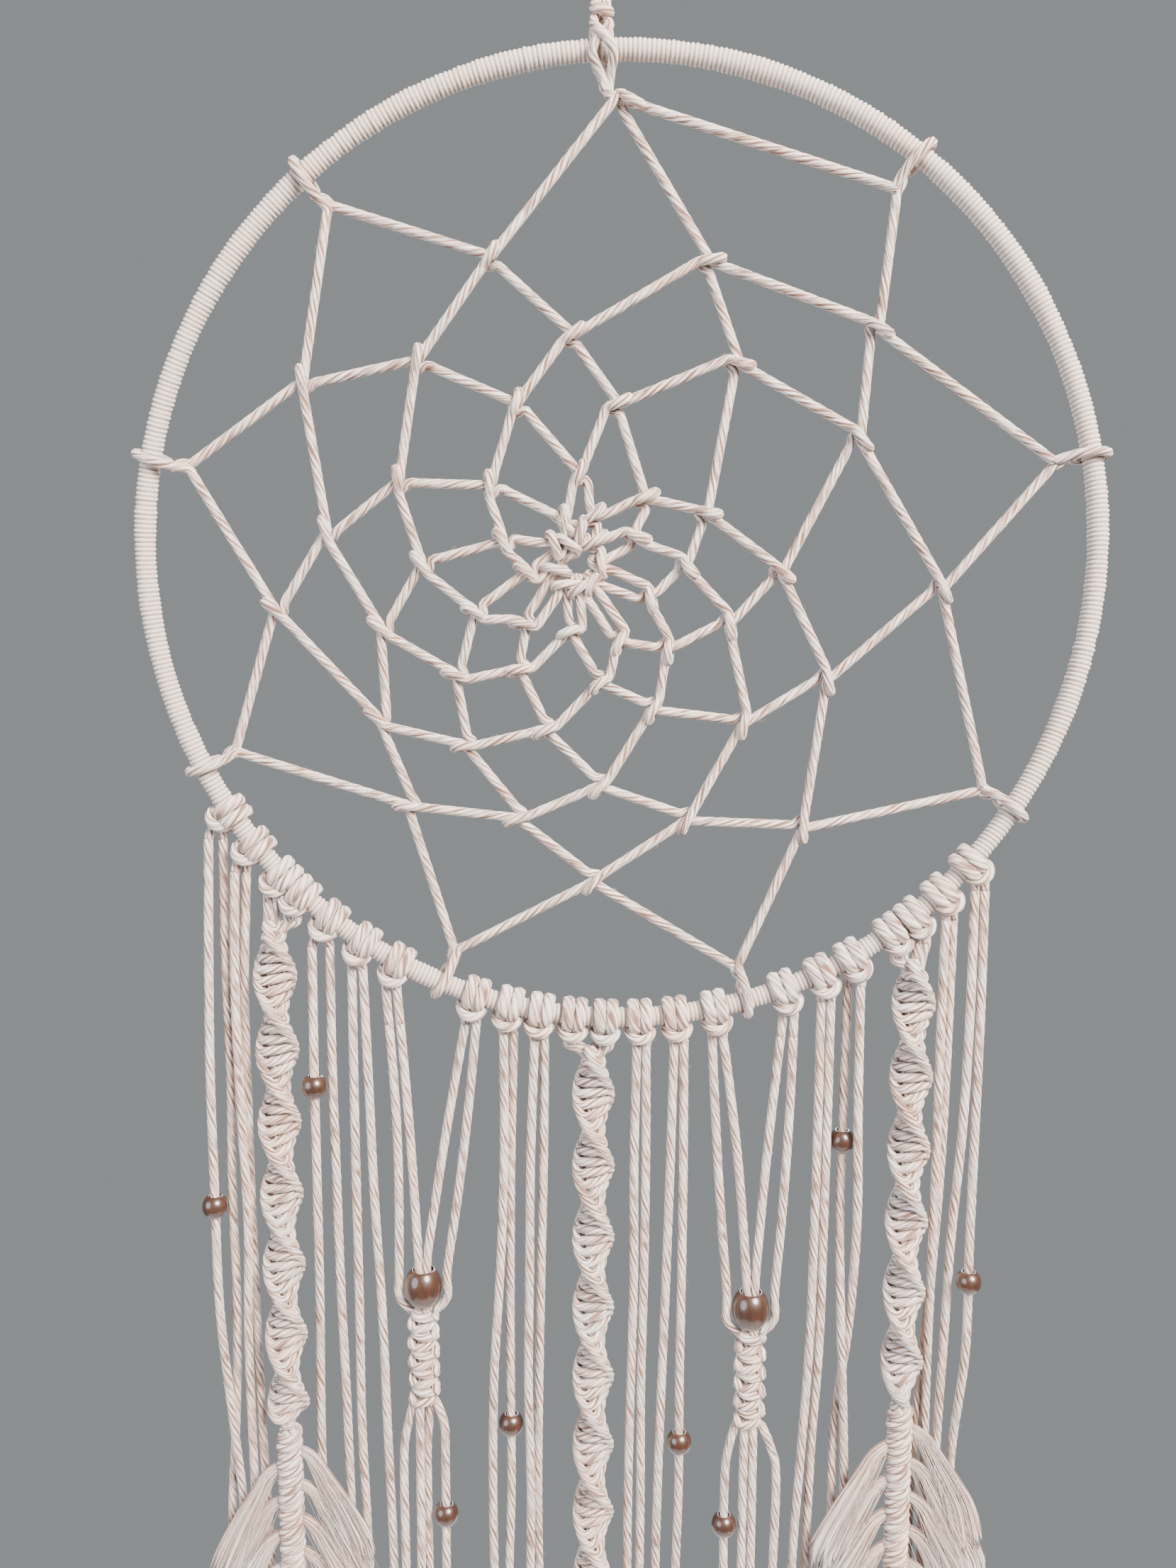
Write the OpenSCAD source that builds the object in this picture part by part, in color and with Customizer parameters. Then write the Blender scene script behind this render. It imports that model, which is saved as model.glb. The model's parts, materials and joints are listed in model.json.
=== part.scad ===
// Dream catcher: a string-wrapped hoop with a woven web, hung by a cord loop,
// with knotted fringe cords, spiral sinnets, feathers and wooden beads below it.
// Millimetres. The origin is where a nail bears under the top of the hanging loop,
// +Z is up and the front faces -Y.

/* [Hoop] */
// Outside diameter of the hoop over its string wrap
hoop_d = 305; // [250:1:380]
// Diameter of the bare ring inside the wrap
ring_d = 5; // [3:0.5:7]
// Thickness of the string wrapped round the ring
wrap_t = 0.9; // [0.5:0.1:1.8]

/* [Cord] */
// Diameter of the cotton cord
cord_d = 2.85; // [2:0.05:3.2]

/* [Hanger] */
// Height of the hanging loop, from the nail down to its gathering wrap
loop_h = 72; // [50:1:120]
// Widest inside gap of the hanging loop
loop_w = 15; // [10:1:30]
// Height of the gathering wrap
gather_h = 20; // [12:1:40]
// Diameter of the gathering wrap
gather_d = 8; // [6.5:0.5:12]
// Height of the knot between the gathering wrap and the hoop
neck_h = 11; // [9:1:20]
// Sideways step from the hanger to the hoop's centre
hang_x = 6.5; // [0:0.5:12]

/* [Knots] */
// Width of one band of a lark's head knot
band_w = 3.6; // [2.8:0.1:3.9]
// Thickness of one band
band_t = 2.2; // [1.6:0.1:3]
// Thickness of the bar across the front of a knot
bar_d = 3.2; // [2:0.1:4]

/* [Spirals] */
// Widest measure of a spiral sinnet
spiral_w = 14; // [11:0.5:14.5]
// Narrowest measure of a spiral sinnet
spiral_t = 7.8; // [6:0.1:9]
// Height of one whole turn of a spiral sinnet
spiral_turn = 50; // [35:1:70]

/* [Feathers] */
// Diameter of a feather's knotted spine
spine_d = 9.6; // [8:0.2:12]
// Height of one knot of the spine
spine_knot_h = 6; // [4:0.5:8]
// Length of each side feather
feather_h = 178; // [120:1:190]
// Length of the middle feather
mid_feather_h = 160; // [120:1:180]
// Widest measure of a feather
feather_w = 62; // [40:1:64]
// Thickness of a feather's brushed fringe
feather_t = 7; // [4:0.5:7.5]

/* [Beads] */
// Diameter of a small bead
small_bead_d = 8.4; // [7:0.1:8.6]
// Diameter of a small bead's hole
small_hole_d = 3.6; // [3.4:0.1:4.5]
// Diameter of a large bead
large_bead_d = 12.5; // [10:0.1:13]
// Height of a large bead
large_bead_h = 14.8; // [10:0.1:18]
// Diameter of a large bead's hole
large_hole_d = 6.6; // [6.2:0.1:8]

/* [Square sinnets] */
// Width of a square-knot sinnet
sinnet_w = 10.8; // [9:0.1:12]
// Thickness of a square-knot sinnet
sinnet_t = 6.2; // [5:0.1:8]
// Height of one square knot
square_h = 6.7; // [5:0.1:8]
// Number of square knots in each sinnet
square_n = 5; // [3:1:7]

/* [Hidden] */
$fn = 48;
COTTON = "#e3d5cb";
STRING = "#d9c9bd";
STEEL = "#9a9a98";
WOOD = "#7b4a2c";
gap = 0.5;          // clear space above a hinge axis and below it
fit = 0.1;          // slack of a knot round the wrapped ring
pair_gap = 0.4;     // space between the two bands of a knot

tube_r = ring_d / 2 + wrap_t;
rim_r = hoop_d / 2 - tube_r;
hoop_z = -(loop_h + gather_h + neck_h + hoop_d / 2);
hoop_bottom = -hoop_d / 2;
knot_w = 2 * band_w + pair_gap;
bar_out = 7;        // from the ring's centre line out to a knot's bar
bar_side = 0.75;    // share of that step that a knot's bar takes sideways
bar_y = -2.2;
neck_d = 4.5;       // the tops of spirals and feathers are drawn in to this,
neck_drop = 3;      // over this height, so that they can swing

// Angles round the hoop, counted from +X towards +Z
web_angles = [92, 53, 12, 327.5, 286, 247, 206.5, 168.5, 130.5];
fringe_angles = [213, 218, 231, 236, 256, 260, 272.5, 277, 296, 300.3, 314, 319];
spiral_angles = [[223, 226.3], [264.2, 268.2], [306.2, 309.5]];
spiral_shift = [-3, 1.5, 1.5];  // a spiral hangs a little to one side of its knots
pendant_angles = [[241, 251.5], [282, 291]];

// Drops of the fringe cords' route points below their knots
stations = [0, 40, 80, 120, 160, 200, 240, 280, 336];
// Two cords per knot: sideways steps, then depths, at each station
fringe_routes = [
    [[[-3, -4.4, -5.4, -5.4, -5.2, -3.8, -1.4, -0.6, -0.6], [-1.2, -1.2, -1.2, -1.2, -1.2, 3.4, 5.8, 6, 6]],
     [[0.8, 0.2, 0.3, -0.5, -0.5, -3, -6, -6.4, -6.4], [1.6, 1.8, 2.3, 2.3, 3, 6.6, 7.4, 6.6, 6.4]]],
    [[[-2.8, -4, -3.5, -2.5, -4.5, -5.2, -5, -5, -5], [-1.2, -1.2, -1.2, -1, 2, 5, 5.8, 6, 6]],
     [[0.4, -1.9, -2.1, -2.1, -2.1, -1.8, -0.6, -0.4, -0.4], [1, 2.2, 2.4, 2.6, 4.4, 5.8, 6.2, 6.4, 6.4]]],
    [[[-3, -3.4, -3.5, -4.2, -5.6, -6, -6, -6, -6], [-1.2, -1.2, -1.2, 1.5, 5, 5.8, 6, 6, 6]],
     [[2.2, 2, 2.5, 3, 3.6, 3.8, 4, 4, 4], [1.4, 1.4, 1.4, 1.6, 3.6, 5.8, 6.2, 6.4, 6.4]]],
    [[[-1.2, -1.4, -1.4, -1.6, -2.2, -1.5, -0.6, -1, -1], [-0.5, -0.5, -0.5, 1, 3.5, 5.4, 6, 6.2, 6.2]],
     [[2.4, 3.4, 4.5, 6.2, 7, 8, 8.5, 8.5, 8], [-0.5, 0, 0, 0.5, 1, 1.5, 2, 2, 2]]],
    [[[-0.8, -0.9, -2.5, -5, -5.8, -5.6, -5.4, -5.4, -5.4], [-1.5, -1.5, -1.5, -1.5, -1, 0, 3, 5.6, 6]],
     [[2.4, 1.2, 0.6, 0.4, 0.4, -0.8, -1.2, -1.2, -1.2], [1.6, 1.6, 1.6, 1.6, 1.6, 2.4, 4.6, 6, 6.4]]],
    [[[-1.2, -2.7, -3.3, -3.9, -3.3, -3.9, -4.1, -4.1, -4.1], [-1.2, -1.2, -1.2, -1.2, -1, 3, 5.4, 6, 6]],
     [[2, 1.5, 0.5, -0.4, -1, -0.8, -0.4, -0.4, -0.4], [0.6, 2, 2.2, 2.3, 2.5, 4.4, 5.8, 6.2, 6.6]]],
    [[[-1.2, -1.9, -1.8, -2.7, -3.4, -3.5, -3.5, -3.5, -3.5], [-0.5, -0.5, 0, 0, 1.2, 4.6, 5.8, 6, 6]],
     [[1.9, 2, 1.6, 0.8, 0.9, 0.8, 0.8, 0.8, 0.8], [-0.5, 0, 0, 0, 1.2, 4.6, 5.8, 6, 6]]],
    [[[-1, -1.9, -3, -4.3, -5.4, -5.9, -6, -6, -6], [-0.5, -0.5, -0.5, -0.5, -0.3, 3.4, 5.6, 6, 6]],
     [[2.2, 2.4, 2.2, 1.8, 1.8, 1.1, 1, 1, 1], [-0.5, -0.5, -0.5, -0.5, -0.5, 3.4, 5.4, 6, 6]]],
    [[[-1.9, -2, -2.4, -3, -4.9, -6.8, -7.3, -7.3, -7.3], [-0.5, -0.5, -0.5, 0, 1, 2.4, 4, 5.8, 6]],
     [[1.3, 1.1, 0.7, 0.4, -1, -1.6, -2, -2.3, -2.3], [-0.5, -0.5, -0.5, 0.5, 3.4, 5.6, 6, 6, 6]]],
    [[[-2.9, -3.3, -3.5, -2.8, 0.3, 1.4, 1.4, 1.4, 1.4], [2.4, 2.4, 2.4, -0.8, 5.3, 5.8, 6, 6, 6]],
     [[0.3, 0.6, 1.3, 0.4, -2.4, -3, -3, -3, -3], [-2.2, -2.2, -2.2, 2.4, 8.4, 7, 6.4, 6.4, 6.4]]],
    [[[-1.9, -2.2, -2.2, -2, -1.2, -0.6, -0.6, -0.6, -0.6], [-1.4, -1.4, -1.4, 0.5, 4.6, 6, 6, 6, 6]],
     [[1.4, 1.1, 0.4, -0.8, -2.2, -4.8, -5, -5, -5], [1.6, 1.8, 1.8, 3.6, 7.6, 6.8, 6.4, 6.4, 6.4]]],
    [[[-1.8, -1.8, -2.8, -4.6, -5.5, -6, -6, -6, -6], [-0.5, -0.5, -0.5, 1.8, 3, 5.4, 6, 6, 6]],
     [[1.4, 1.6, 1.3, 1, 1, -0.6, -1, -1, -1], [-0.5, -0.5, -0.5, -0.5, -0.5, 5.4, 6, 6, 6]]],
];
// Small beads on the fringe: knot, cord (0 left, 1 right) and drop of the bead's centre
fringe_beads = [[0, 0, 124], [2, 0, 47], [4, 1, 139], [7, 1, 141], [9, 0, 54], [11, 1, 134]];

// Pendants: share of the ring radius sideways, and drop of the sinnet's top below the hoop
pendant_x = [-0.443, 0.298];
pendant_drop = [99, 107];
// Bow of each of a pendant's four cords, half way down
pendant_bow = [[1.5, 0.5, -0.5, 0.8], [-0.5, 1, -0.5, 0.8]];
bead_seat = 1.4;    // from a sinnet's top up to the large bead
leg_step = 1.8;     // from a knot's middle to each of its two cords
around = 0.4;       // space between the large bead and the cords that pass it
// Cords under a sinnet: drops, then sideways steps and depths of each cord
tail_stations = [0, 8, 20, 60, 100, 140, 196];
tail_routes = [
    [[[-4, -6, -7.6, -7.6, -7.4, -7, -6.8], [0, 0, 0, 0, 0, 0, 0]],
     [[-1.6, -1.7, -1.8, -2, -2.4, -2.6, -2.6], [-1.6, -1.6, -1.6, -1.6, -1.6, -1.6, -1.6]],
     [[1.6, 1, 0.2, 0.2, 0.4, 0.8, 0.8], [1.6, 1.6, 1.6, 1.6, 1.6, 1.6, 1.6]],
     [[4, 6.4, 6.6, 6.4, 5.6, 5, 4.8], [0, 0, 0, 0, 0, 0, 0]]],
    [[[-4.4, -6.6, -7.9, -7.9, -7.6, -7.2, -7], [0, 0, 0, 0, 0, 0, 0]],
     [[-1.5, -1.5, -1.6, -1.8, -2, -2.2, -2.2], [0, 0, 0, 0, 0, 0, 0]],
     [[1.5, 1.6, 1.6, 1.4, 1.2, 1, 1], [0, 0, 0, 0, 0, 0, 0]],
     [[4.4, 7.6, 9.8, 9, 8, 7.4, 7], [0, 0, 0, 0, 0, 0, 0]]],
];
// Small beads on the tails: pendant, cord and drop of the bead's centre
tail_beads = [[0, 3, 41], [1, 0, 37]];

// Where the feathers begin, below the hoop, left, middle and right
feather_drops = [140, 213, 132];
feather_hs = [feather_h, mid_feather_h, feather_h];
fringe_start = 7;   // from a feather's top down to where its fringe starts
spine_share = 0.84; // share of a feather's length that its spine takes
groove = 0.8;       // depth of the groove between two knots of the spine

// The web's turns: angle and share of the ring radius of each hitch
web_turns = [
    [89, 0.9], [41, 0.7], [354, 0.68], [304, 0.7], [265, 0.7], [229, 0.7], [188.5, 0.74], [151.5, 0.75], [114, 0.66],
    [73, 0.62], [25.5, 0.55], [329, 0.51], [284, 0.58], [248, 0.6], [213, 0.62], [175, 0.62], [136.5, 0.58],
    [102.5, 0.46], [58, 0.46], [354, 0.34], [306, 0.44], [264.5, 0.49], [230, 0.52], [196, 0.53], [161.5, 0.49],
    [125, 0.38], [91, 0.31], [26, 0.2], [327.5, 0.27], [281.5, 0.33], [246, 0.4], [215, 0.43], [182, 0.42],
    [152, 0.31], [117, 0.19], [67, 0.13], [350, 0.14], [296, 0.22], [260, 0.27], [227.5, 0.32], [200.5, 0.33],
    [173, 0.25], [147.6, 0.139], [124.4, 0.101], [50, 0.05], [303, 0.11], [268, 0.18], [235, 0.19], [214, 0.25],
    [189, 0.2], [170.3, 0.141], [148.2, 0.0975], [150.5, 0.0615], [201.2, 0.047], [221.7, 0.082], [216.6, 0.109],
    [206.6, 0.1305], [191.2, 0.14], [166.7, 0.115],
];
web_neck = 9;       // how far a hitch on the ring reaches in before the web spreads

fringe_names = ["a", "b", "c", "d", "e", "f", "g", "h", "i", "j", "k", "l"];

// ---- places ----
function polar(a, r) = [r * cos(a), 0, r * sin(a)];
function hoop_c() = [hang_x, 0, hoop_z];
function rim_at(a) = hoop_c() + polar(a, rim_r);
function bar_tilt(a) = (a - 270) / 2;
function bar_at(a) = rim_at(a) + [bar_side * bar_out * cos(a), bar_y, bar_out * sin(a)];
// How far a cord's top stays below the bar, more where the bar is tilted
function foot_drop(a) =
    bar_d / 2 / cos(bar_tilt(a)) + cord_d * 1.15 * abs(tan(bar_tilt(a))) + 2 * gap;
function foot_at(a) = bar_at(a) - [0, bar_y, foot_drop(a)];
function mix(p, q, t) = p + (q - p) * t;
function mean(v) = (v[0] + v[1]) / 2;

// A route from its start and lists of drops, sideways steps and depths
function route(start, drops, xs, ys) =
    [for (i = [0:len(drops) - 1]) start + [xs[i], ys[i], -drops[i]]];
// The point of a falling route at a height
function at_height(r, z, i = 0) =
    i >= len(r) - 2 || r[i + 1][2] <= z
        ? mix(r[i], r[i + 1], (r[i][2] - z) / (r[i][2] - r[i + 1][2]))
        : at_height(r, z, i + 1);

function fringe_route(i, side) =
    route(foot_at(fringe_angles[i]), stations, fringe_routes[i][side][0], fringe_routes[i][side][1]);

// ---- cord tubes ----
function unit(v) = v / norm(v);
function heading(p, i) = unit(p[min(i + 1, len(p) - 1)] - p[max(i - 1, 0)]);
// One ring of a tube: a polygon square to the route, with one radius along Y
function ring(c, dir, r, n) =
    let (side = unit(cross(dir, [0, 1, 0])), up = cross(side, dir))
    [for (k = [0:n - 1]) c + r * (side * cos(360 * k / n) + up * sin(360 * k / n))];

module cord(p, d = cord_d, n = 8) {
    m = len(p);
    pts = [for (i = [0:m - 1]) each ring(p[i], heading(p, i), d / 2, n)];
    walls = [for (i = [0:m - 2]) for (k = [0:n - 1])
        [i * n + k, i * n + (k + 1) % n, (i + 1) * n + (k + 1) % n, (i + 1) * n + k]];
    caps = [[for (k = [n - 1:-1:0]) k], [for (k = [0:n - 1]) (m - 1) * n + k]];
    polyhedron(pts, concat(walls, caps), convexity = 4);
}

// ---- knots ----
module band_profile() {
    intersection() {
        translate([tube_r + fit + band_t - band_w / 2, 0]) circle(d = band_w);
        translate([tube_r + fit, -band_w / 2]) square([band_t, band_w]);
    }
}

// Places its children on the ring: X outwards, Z along the ring
module on_rim(a) {
    translate(rim_at(a)) rotate([0, -a, 0]) children();
}

module capsule(len, d) {
    rotate([0, 90, 0]) {
        cylinder(h = len - d, d = d, center = true);
        for (s = [-1, 1]) translate([0, 0, s * (len - d) / 2]) sphere(d = d);
    }
}

module larks_head(a) {
    color(COTTON) {
        on_rim(a)
            for (s = [-1, 1])
                translate([0, 0, s * (band_w + pair_gap) / 2]) rotate_extrude() band_profile();
        translate(bar_at(a)) rotate([0, -bar_tilt(a), 0]) capsule(knot_w + 1, bar_d);
    }
}

// ---- hanger ----
loop_route = [
    [-1.6, 0, -1], [-1.7, 0, -0.86], [-3, 0, -0.68], [-6.5, 0, -0.45], [-7.5, 0, -0.25],
    [-6.2, 0, -0.1], [-3.4, 0, -0.02], [0, 0, 0], [3.4, 0, -0.02], [6.2, 0, -0.1],
    [7.5, 0, -0.25], [6.5, 0, -0.45], [3, 0, -0.68], [1.7, 0, -0.86], [1.6, 0, -1],
];

module hanging_loop() {
    wide = (loop_w + cord_d) / 15;
    p = [for (q = loop_route)
        [abs(q[0]) > 2 ? q[0] * wide : q[0], 0, cord_d / 2 + q[2] * (loop_h + cord_d / 2 - gap)]];
    color(COTTON) cord(p);
}

module gathering_wrap() {
    turns = round(gather_h / cord_d);
    pitch = (gather_h - 2 * gap) / turns;
    color(COTTON) translate([0, 0, -loop_h - gather_h + gap])
        rotate_extrude()
            for (i = [0:turns - 1]) translate([0, i * pitch]) {
                translate([gather_d / 2 - pitch / 2, pitch / 2]) circle(d = pitch);
                square([gather_d / 2 - pitch / 2, pitch]);
            }
}

module hanger_knot() {
    top = -loop_h - gather_h - gap;
    rim_top = hoop_z + sqrt(pow(rim_r, 2) - pow(hang_x, 2));
    hitch = 90 + asin(hang_x / rim_r);
    color(COTTON) {
        translate([0, 0, top - 2.8]) sphere(d = 5.6);
        translate([0, 0, top - 4]) cylinder(h = 4, d = 4);
        translate([0, 0, rim_top + tube_r + 1.2])
            cylinder(h = top - rim_top - tube_r - 1.2, d = 4);
        on_rim(hitch)
            for (s = [-1, 1])
                translate([0, 0, s * (band_w + pair_gap) / 2]) rotate_extrude() band_profile();
        translate([0, 0, rim_top + tube_r + band_t - 0.4]) capsule(knot_w + 0.6, cord_d);
    }
}

// ---- hoop ----
module hoop_ring() {
    color(STEEL) translate(hoop_c()) rotate([90, 0, 0])
        rotate_extrude($fn = 96) translate([rim_r, 0]) circle(d = ring_d);
}

module hoop_wrap() {
    color(STRING) translate(hoop_c()) rotate([90, 0, 0])
        rotate_extrude($fn = 96) translate([rim_r, 0]) difference() {
            circle(r = tube_r);
            circle(d = ring_d);
        }
}

// ---- web: one cord hitched round the ring nine times, then on itself ----
module web_stretch(p, q) {
    v = q - p;
    translate(p) rotate([0, acos(v[2] / norm(v)), atan2(v[1], v[0])])
        cylinder(h = norm(v), d = cord_d, $fn = 6);
}

module web() {
    inner = rim_r - tube_r - web_neck;
    round_n = len(web_angles);
    path = concat([for (a = web_angles) polar(a, inner)], [for (t = web_turns) polar(t[0], rim_r * t[1])]);
    color(COTTON) translate(hoop_c()) {
        // Each stretch of a turn is drawn inwards by the hitch that the next turn ties on it
        for (i = [0:len(path) - 2])
            if (i + round_n < len(path)) {
                web_stretch(path[i], path[i + round_n]);
                web_stretch(path[i + round_n], path[i + 1]);
            } else web_stretch(path[i], path[i + 1]);
        for (p = path) translate(p) sphere(d = 1.3 * cord_d, $fn = 6);
        for (i = [0:round_n - 1]) {
            a = web_angles[i];
            // The first turn starts at the hanger's knot; the others are hitched on the ring
            hull() {
                translate(polar(a, inner)) sphere(d = cord_d, $fn = 6);
                translate(polar(a, rim_r - tube_r - cord_d / 2 - (i == 0 ? band_t : 0)))
                    sphere(d = 1.4 * cord_d, $fn = 6);
            }
            if (i > 0) translate(polar(a, rim_r)) rotate([0, -a, 0])
                rotate_extrude($fn = 16) translate([tube_r + fit + 0.05, 0]) polygon([
                    [0, -band_w / 2], [band_t * 0.7, -band_w / 2], [band_t, 0],
                    [band_t * 0.7, band_w / 2], [0, band_w / 2],
                ]);
        }
    }
}

// ---- fringe ----
module fringe_knot(i) {
    larks_head(fringe_angles[i]);
}

module fringe_cord(i) {
    color(COTTON)
        for (side = [0, 1]) cord(fringe_route(i, side));
}

// ---- beads ----
// A ball of revolution with a hole, as an arc from hole to hole
module bead(d, h, hole) {
    color(WOOD) difference() {
        rotate_extrude() intersection() {
            polygon([for (a = [-90:10:90]) [d / 2 * pow(cos(a), 0.9), h / 2 * sin(a)]]);
            translate([0, -h * 0.48]) square([d, h * 0.96]);
        }
        cylinder(h = 2 * h, d = hole, center = true);
    }
}

module fringe_bead(k) {
    b = fringe_beads[k];
    foot = foot_at(fringe_angles[b[0]]);
    translate(at_height(fringe_route(b[0], b[1]), foot[2] - b[2]))
        bead(small_bead_d, small_bead_d, small_hole_d);
}

module tail_bead(k) {
    b = tail_beads[k];
    translate(at_height(tail_route(b[0], b[1]), sinnet_bottom(b[0])[2] - b[2]))
        bead(small_bead_d, small_bead_d, small_hole_d);
}

// ---- spirals ----
// The swing axes: under a pair of knots, and between a spiral and its feather
function pair_z(pair) = min([for (a = pair) foot_at(a)[2]]) + gap;
function spiral_pivot(i) =
    [mean([for (a = spiral_angles[i]) foot_at(a)[0]]) + spiral_shift[i], 0, pair_z(spiral_angles[i])];
function feather_pivot(i) = [spiral_pivot(i)[0], 0, hoop_z + hoop_bottom - feather_drops[i]];

// Two knots side by side, and the short cords that run from them into the spiral
module spiral_knots(i) {
    for (a = spiral_angles[i]) {
        larks_head(a);
        bar = bar_at(a);
        color(COTTON) translate([bar[0], 0, spiral_pivot(i)[2] + gap])
            cylinder(h = bar[2] - spiral_pivot(i)[2] - gap, d = neck_d);
    }
}

module spiral(i) {
    top = spiral_pivot(i) - [0, 0, gap];
    h = top[2] - feather_pivot(i)[2] - gap - neck_drop;
    turn = 360 * h / spiral_turn;
    color(COTTON) translate(top) mirror([0, 0, 1]) {
        cylinder(h = neck_drop + 1, d = neck_d);
        translate([0, 0, neck_drop])
            linear_extrude(height = h, twist = -turn, slices = ceil(turn / 36), $fn = 12)
                resize([spiral_w, spiral_t]) circle(d = spiral_t);
    }
}

// ---- feathers ----
function spine_knots(i) = floor(feather_hs[i] * spine_share / spine_knot_h);

module feather_spine(i) {
    n = spine_knots(i);
    color(COTTON) translate(feather_pivot(i)) mirror([0, 0, 1]) translate([0, 0, gap])
        rotate_extrude() polygon(concat(
            [[0, 0], [neck_d / 2 - 1, 0]],
            [for (k = [0:n - 1]) each [
                [spine_d / 2 - groove, (k == 0 ? 0.5 : k) * spine_knot_h],
                [spine_d / 2, (k + 0.6) * spine_knot_h],
                [spine_d / 2, (k + 0.8) * spine_knot_h]]],
            [[spine_d / 2 - groove, n * spine_knot_h], [0, n * spine_knot_h]]));
}

// Half width of a feather at a share of its length: quick to spread, then long to its tip
function leaf(s) = feather_w / 2 * pow(sin(180 * pow(s, 0.8)), 0.85);

module feather_fringe(i) {
    h = feather_hs[i] - fringe_start;
    slot = spine_d / 2 + fit;
    spine_h = spine_knots(i) * spine_knot_h + 2 * gap;
    steps = 18;
    color(COTTON) translate(feather_pivot(i)) rotate([90, 0, 0])
        linear_extrude(height = feather_t, center = true) difference() {
            translate([0, -fringe_start]) polygon(concat(
                [for (k = [0:steps]) [leaf(k / steps), -h * k / steps]],
                [for (k = [steps - 1:-1:1]) [-leaf(k / steps), -h * k / steps]]));
            translate([-slot, -spine_h]) square([2 * slot, spine_h]);
        }
}

// ---- pendants: two knots' cords, a large bead, a square sinnet and four tails ----
function sinnet_top(j) = [hang_x + rim_r * pendant_x[j], 0, hoop_z + hoop_bottom - pendant_drop[j]];
function sinnet_bottom(j) = sinnet_top(j) - [0, 0, square_n * square_h];
function bead_c(j) = sinnet_top(j) + [0, 0, bead_seat + large_bead_h / 2];

// Cord k of 4, left to right: cords 1 and 2 go through the bead, 0 and 3 pass round it
function is_inner(k) = k == 1 || k == 2;
function side_of(k) = k < 2 ? -1 : 1;
function reach(k) = side_of(k) * (is_inner(k)
    ? cord_d / 2 + fit
    : large_bead_d / 2 + cord_d / 2 + around);
function knot_exit(j, k) =
    foot_at(pendant_angles[j][floor(k / 2)]) + [(k % 2 == 0 ? -1 : 1) * leg_step, 0, 0];
function bead_entry(j, k) =
    bead_c(j) + [reach(k), 0, is_inner(k) ? large_bead_h / 2 + 3 : large_bead_h / 2 - 2];
// Share of the way from knot to bead at which a cord passes a height
function share_at(j, k, z) =
    max(0, (knot_exit(j, k)[2] - z) / (knot_exit(j, k)[2] - bead_entry(j, k)[2]));
function hang_point(j, k, t) =
    mix(knot_exit(j, k), bead_entry(j, k), t) + [pendant_bow[j][k] * sin(180 * t), 0, 0];
// The cord below the pendant's swing axis
function pendant_route(j, k) =
    let (t0 = share_at(j, k, pair_z(pendant_angles[j]) - gap),
        low = bead_c(j) + [reach(k), 0, is_inner(k) ? 0 : -large_bead_h / 4],
        end = sinnet_top(j) + [is_inner(k) ? reach(k) : side_of(k) * (sinnet_w - cord_d) / 2, 0, 0])
    concat([for (i = [0:4]) hang_point(j, k, mix(t0, 1, i / 4))], [low, end]);
// The cord above that axis, from the higher knot
function stub_route(j, k) =
    let (t1 = share_at(j, k, pair_z(pendant_angles[j]) + gap))
    [for (i = [0:2]) hang_point(j, k, t1 * i / 2) + [0, 0, i == 0 ? 2 * gap : 0]];
function tail_route(j, k) = route(sinnet_bottom(j), tail_stations, tail_routes[j][k][0], tail_routes[j][k][1]);

module pendant_knots(j) {
    for (a = pendant_angles[j]) larks_head(a);
    color(COTTON)
        for (k = [0:3])
            if (share_at(j, k, pair_z(pendant_angles[j]) + gap) > 0) cord(stub_route(j, k));
}

module pendant_cords(j) {
    color(COTTON)
        for (k = [0:3]) cord(pendant_route(j, k));
}

module large_bead(j) {
    translate(bead_c(j)) bead(large_bead_d, large_bead_h, large_hole_d);
}

module square_sinnet(j) {
    color(COTTON)
        for (i = [0:square_n - 1])
            translate(sinnet_bottom(j) + [0, 0, (i + 0.5) * square_h])
                intersection() {
                    capsule(sinnet_w, sinnet_t + 1.4);
                    cube([sinnet_w, sinnet_t, square_h], center = true);
                }
}

module pendant_tails(j) {
    color(COTTON)
        for (k = [0:3]) cord(tail_route(j, k));
}

hanging_loop();
gathering_wrap();
hanger_knot();
hoop_ring();
hoop_wrap();
web();
for (i = [0:len(fringe_names) - 1])
    fringe_knot(i);
for (i = [0:len(fringe_names) - 1])
    fringe_cord(i);
spiral_knots(0);  // spiral_knots_left
spiral_knots(1);  // spiral_knots_middle
spiral_knots(2);  // spiral_knots_right
spiral(0);  // spiral_left
spiral(1);  // spiral_middle
spiral(2);  // spiral_right
feather_spine(0);  // feather_spine_left
feather_spine(1);  // feather_spine_middle
feather_spine(2);  // feather_spine_right
feather_fringe(0);  // feather_fringe_left
feather_fringe(1);  // feather_fringe_middle
feather_fringe(2);  // feather_fringe_right
pendant_knots(0);  // pendant_knots_left
pendant_knots(1);  // pendant_knots_right
pendant_cords(0);  // pendant_cords_left
pendant_cords(1);  // pendant_cords_right
large_bead(0);  // large_bead_left
large_bead(1);  // large_bead_right
square_sinnet(0);  // square_sinnet_left
square_sinnet(1);  // square_sinnet_right
pendant_tails(0);  // pendant_tails_left
pendant_tails(1);  // pendant_tails_right
fringe_bead(0);  // small_bead_a
fringe_bead(1);  // small_bead_c
fringe_bead(2);  // small_bead_e
fringe_bead(3);  // small_bead_h
fringe_bead(4);  // small_bead_j
fringe_bead(5);  // small_bead_l
tail_bead(0);  // small_bead_left
tail_bead(1);  // small_bead_right
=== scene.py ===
# Looks of the dream catcher: twisted cotton cord, brushed fringe, wrapped hoop and lacquered wooden beads,
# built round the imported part. Sizes below are in millimetres and go to metres when a mesh is made.
import json
import math

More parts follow.
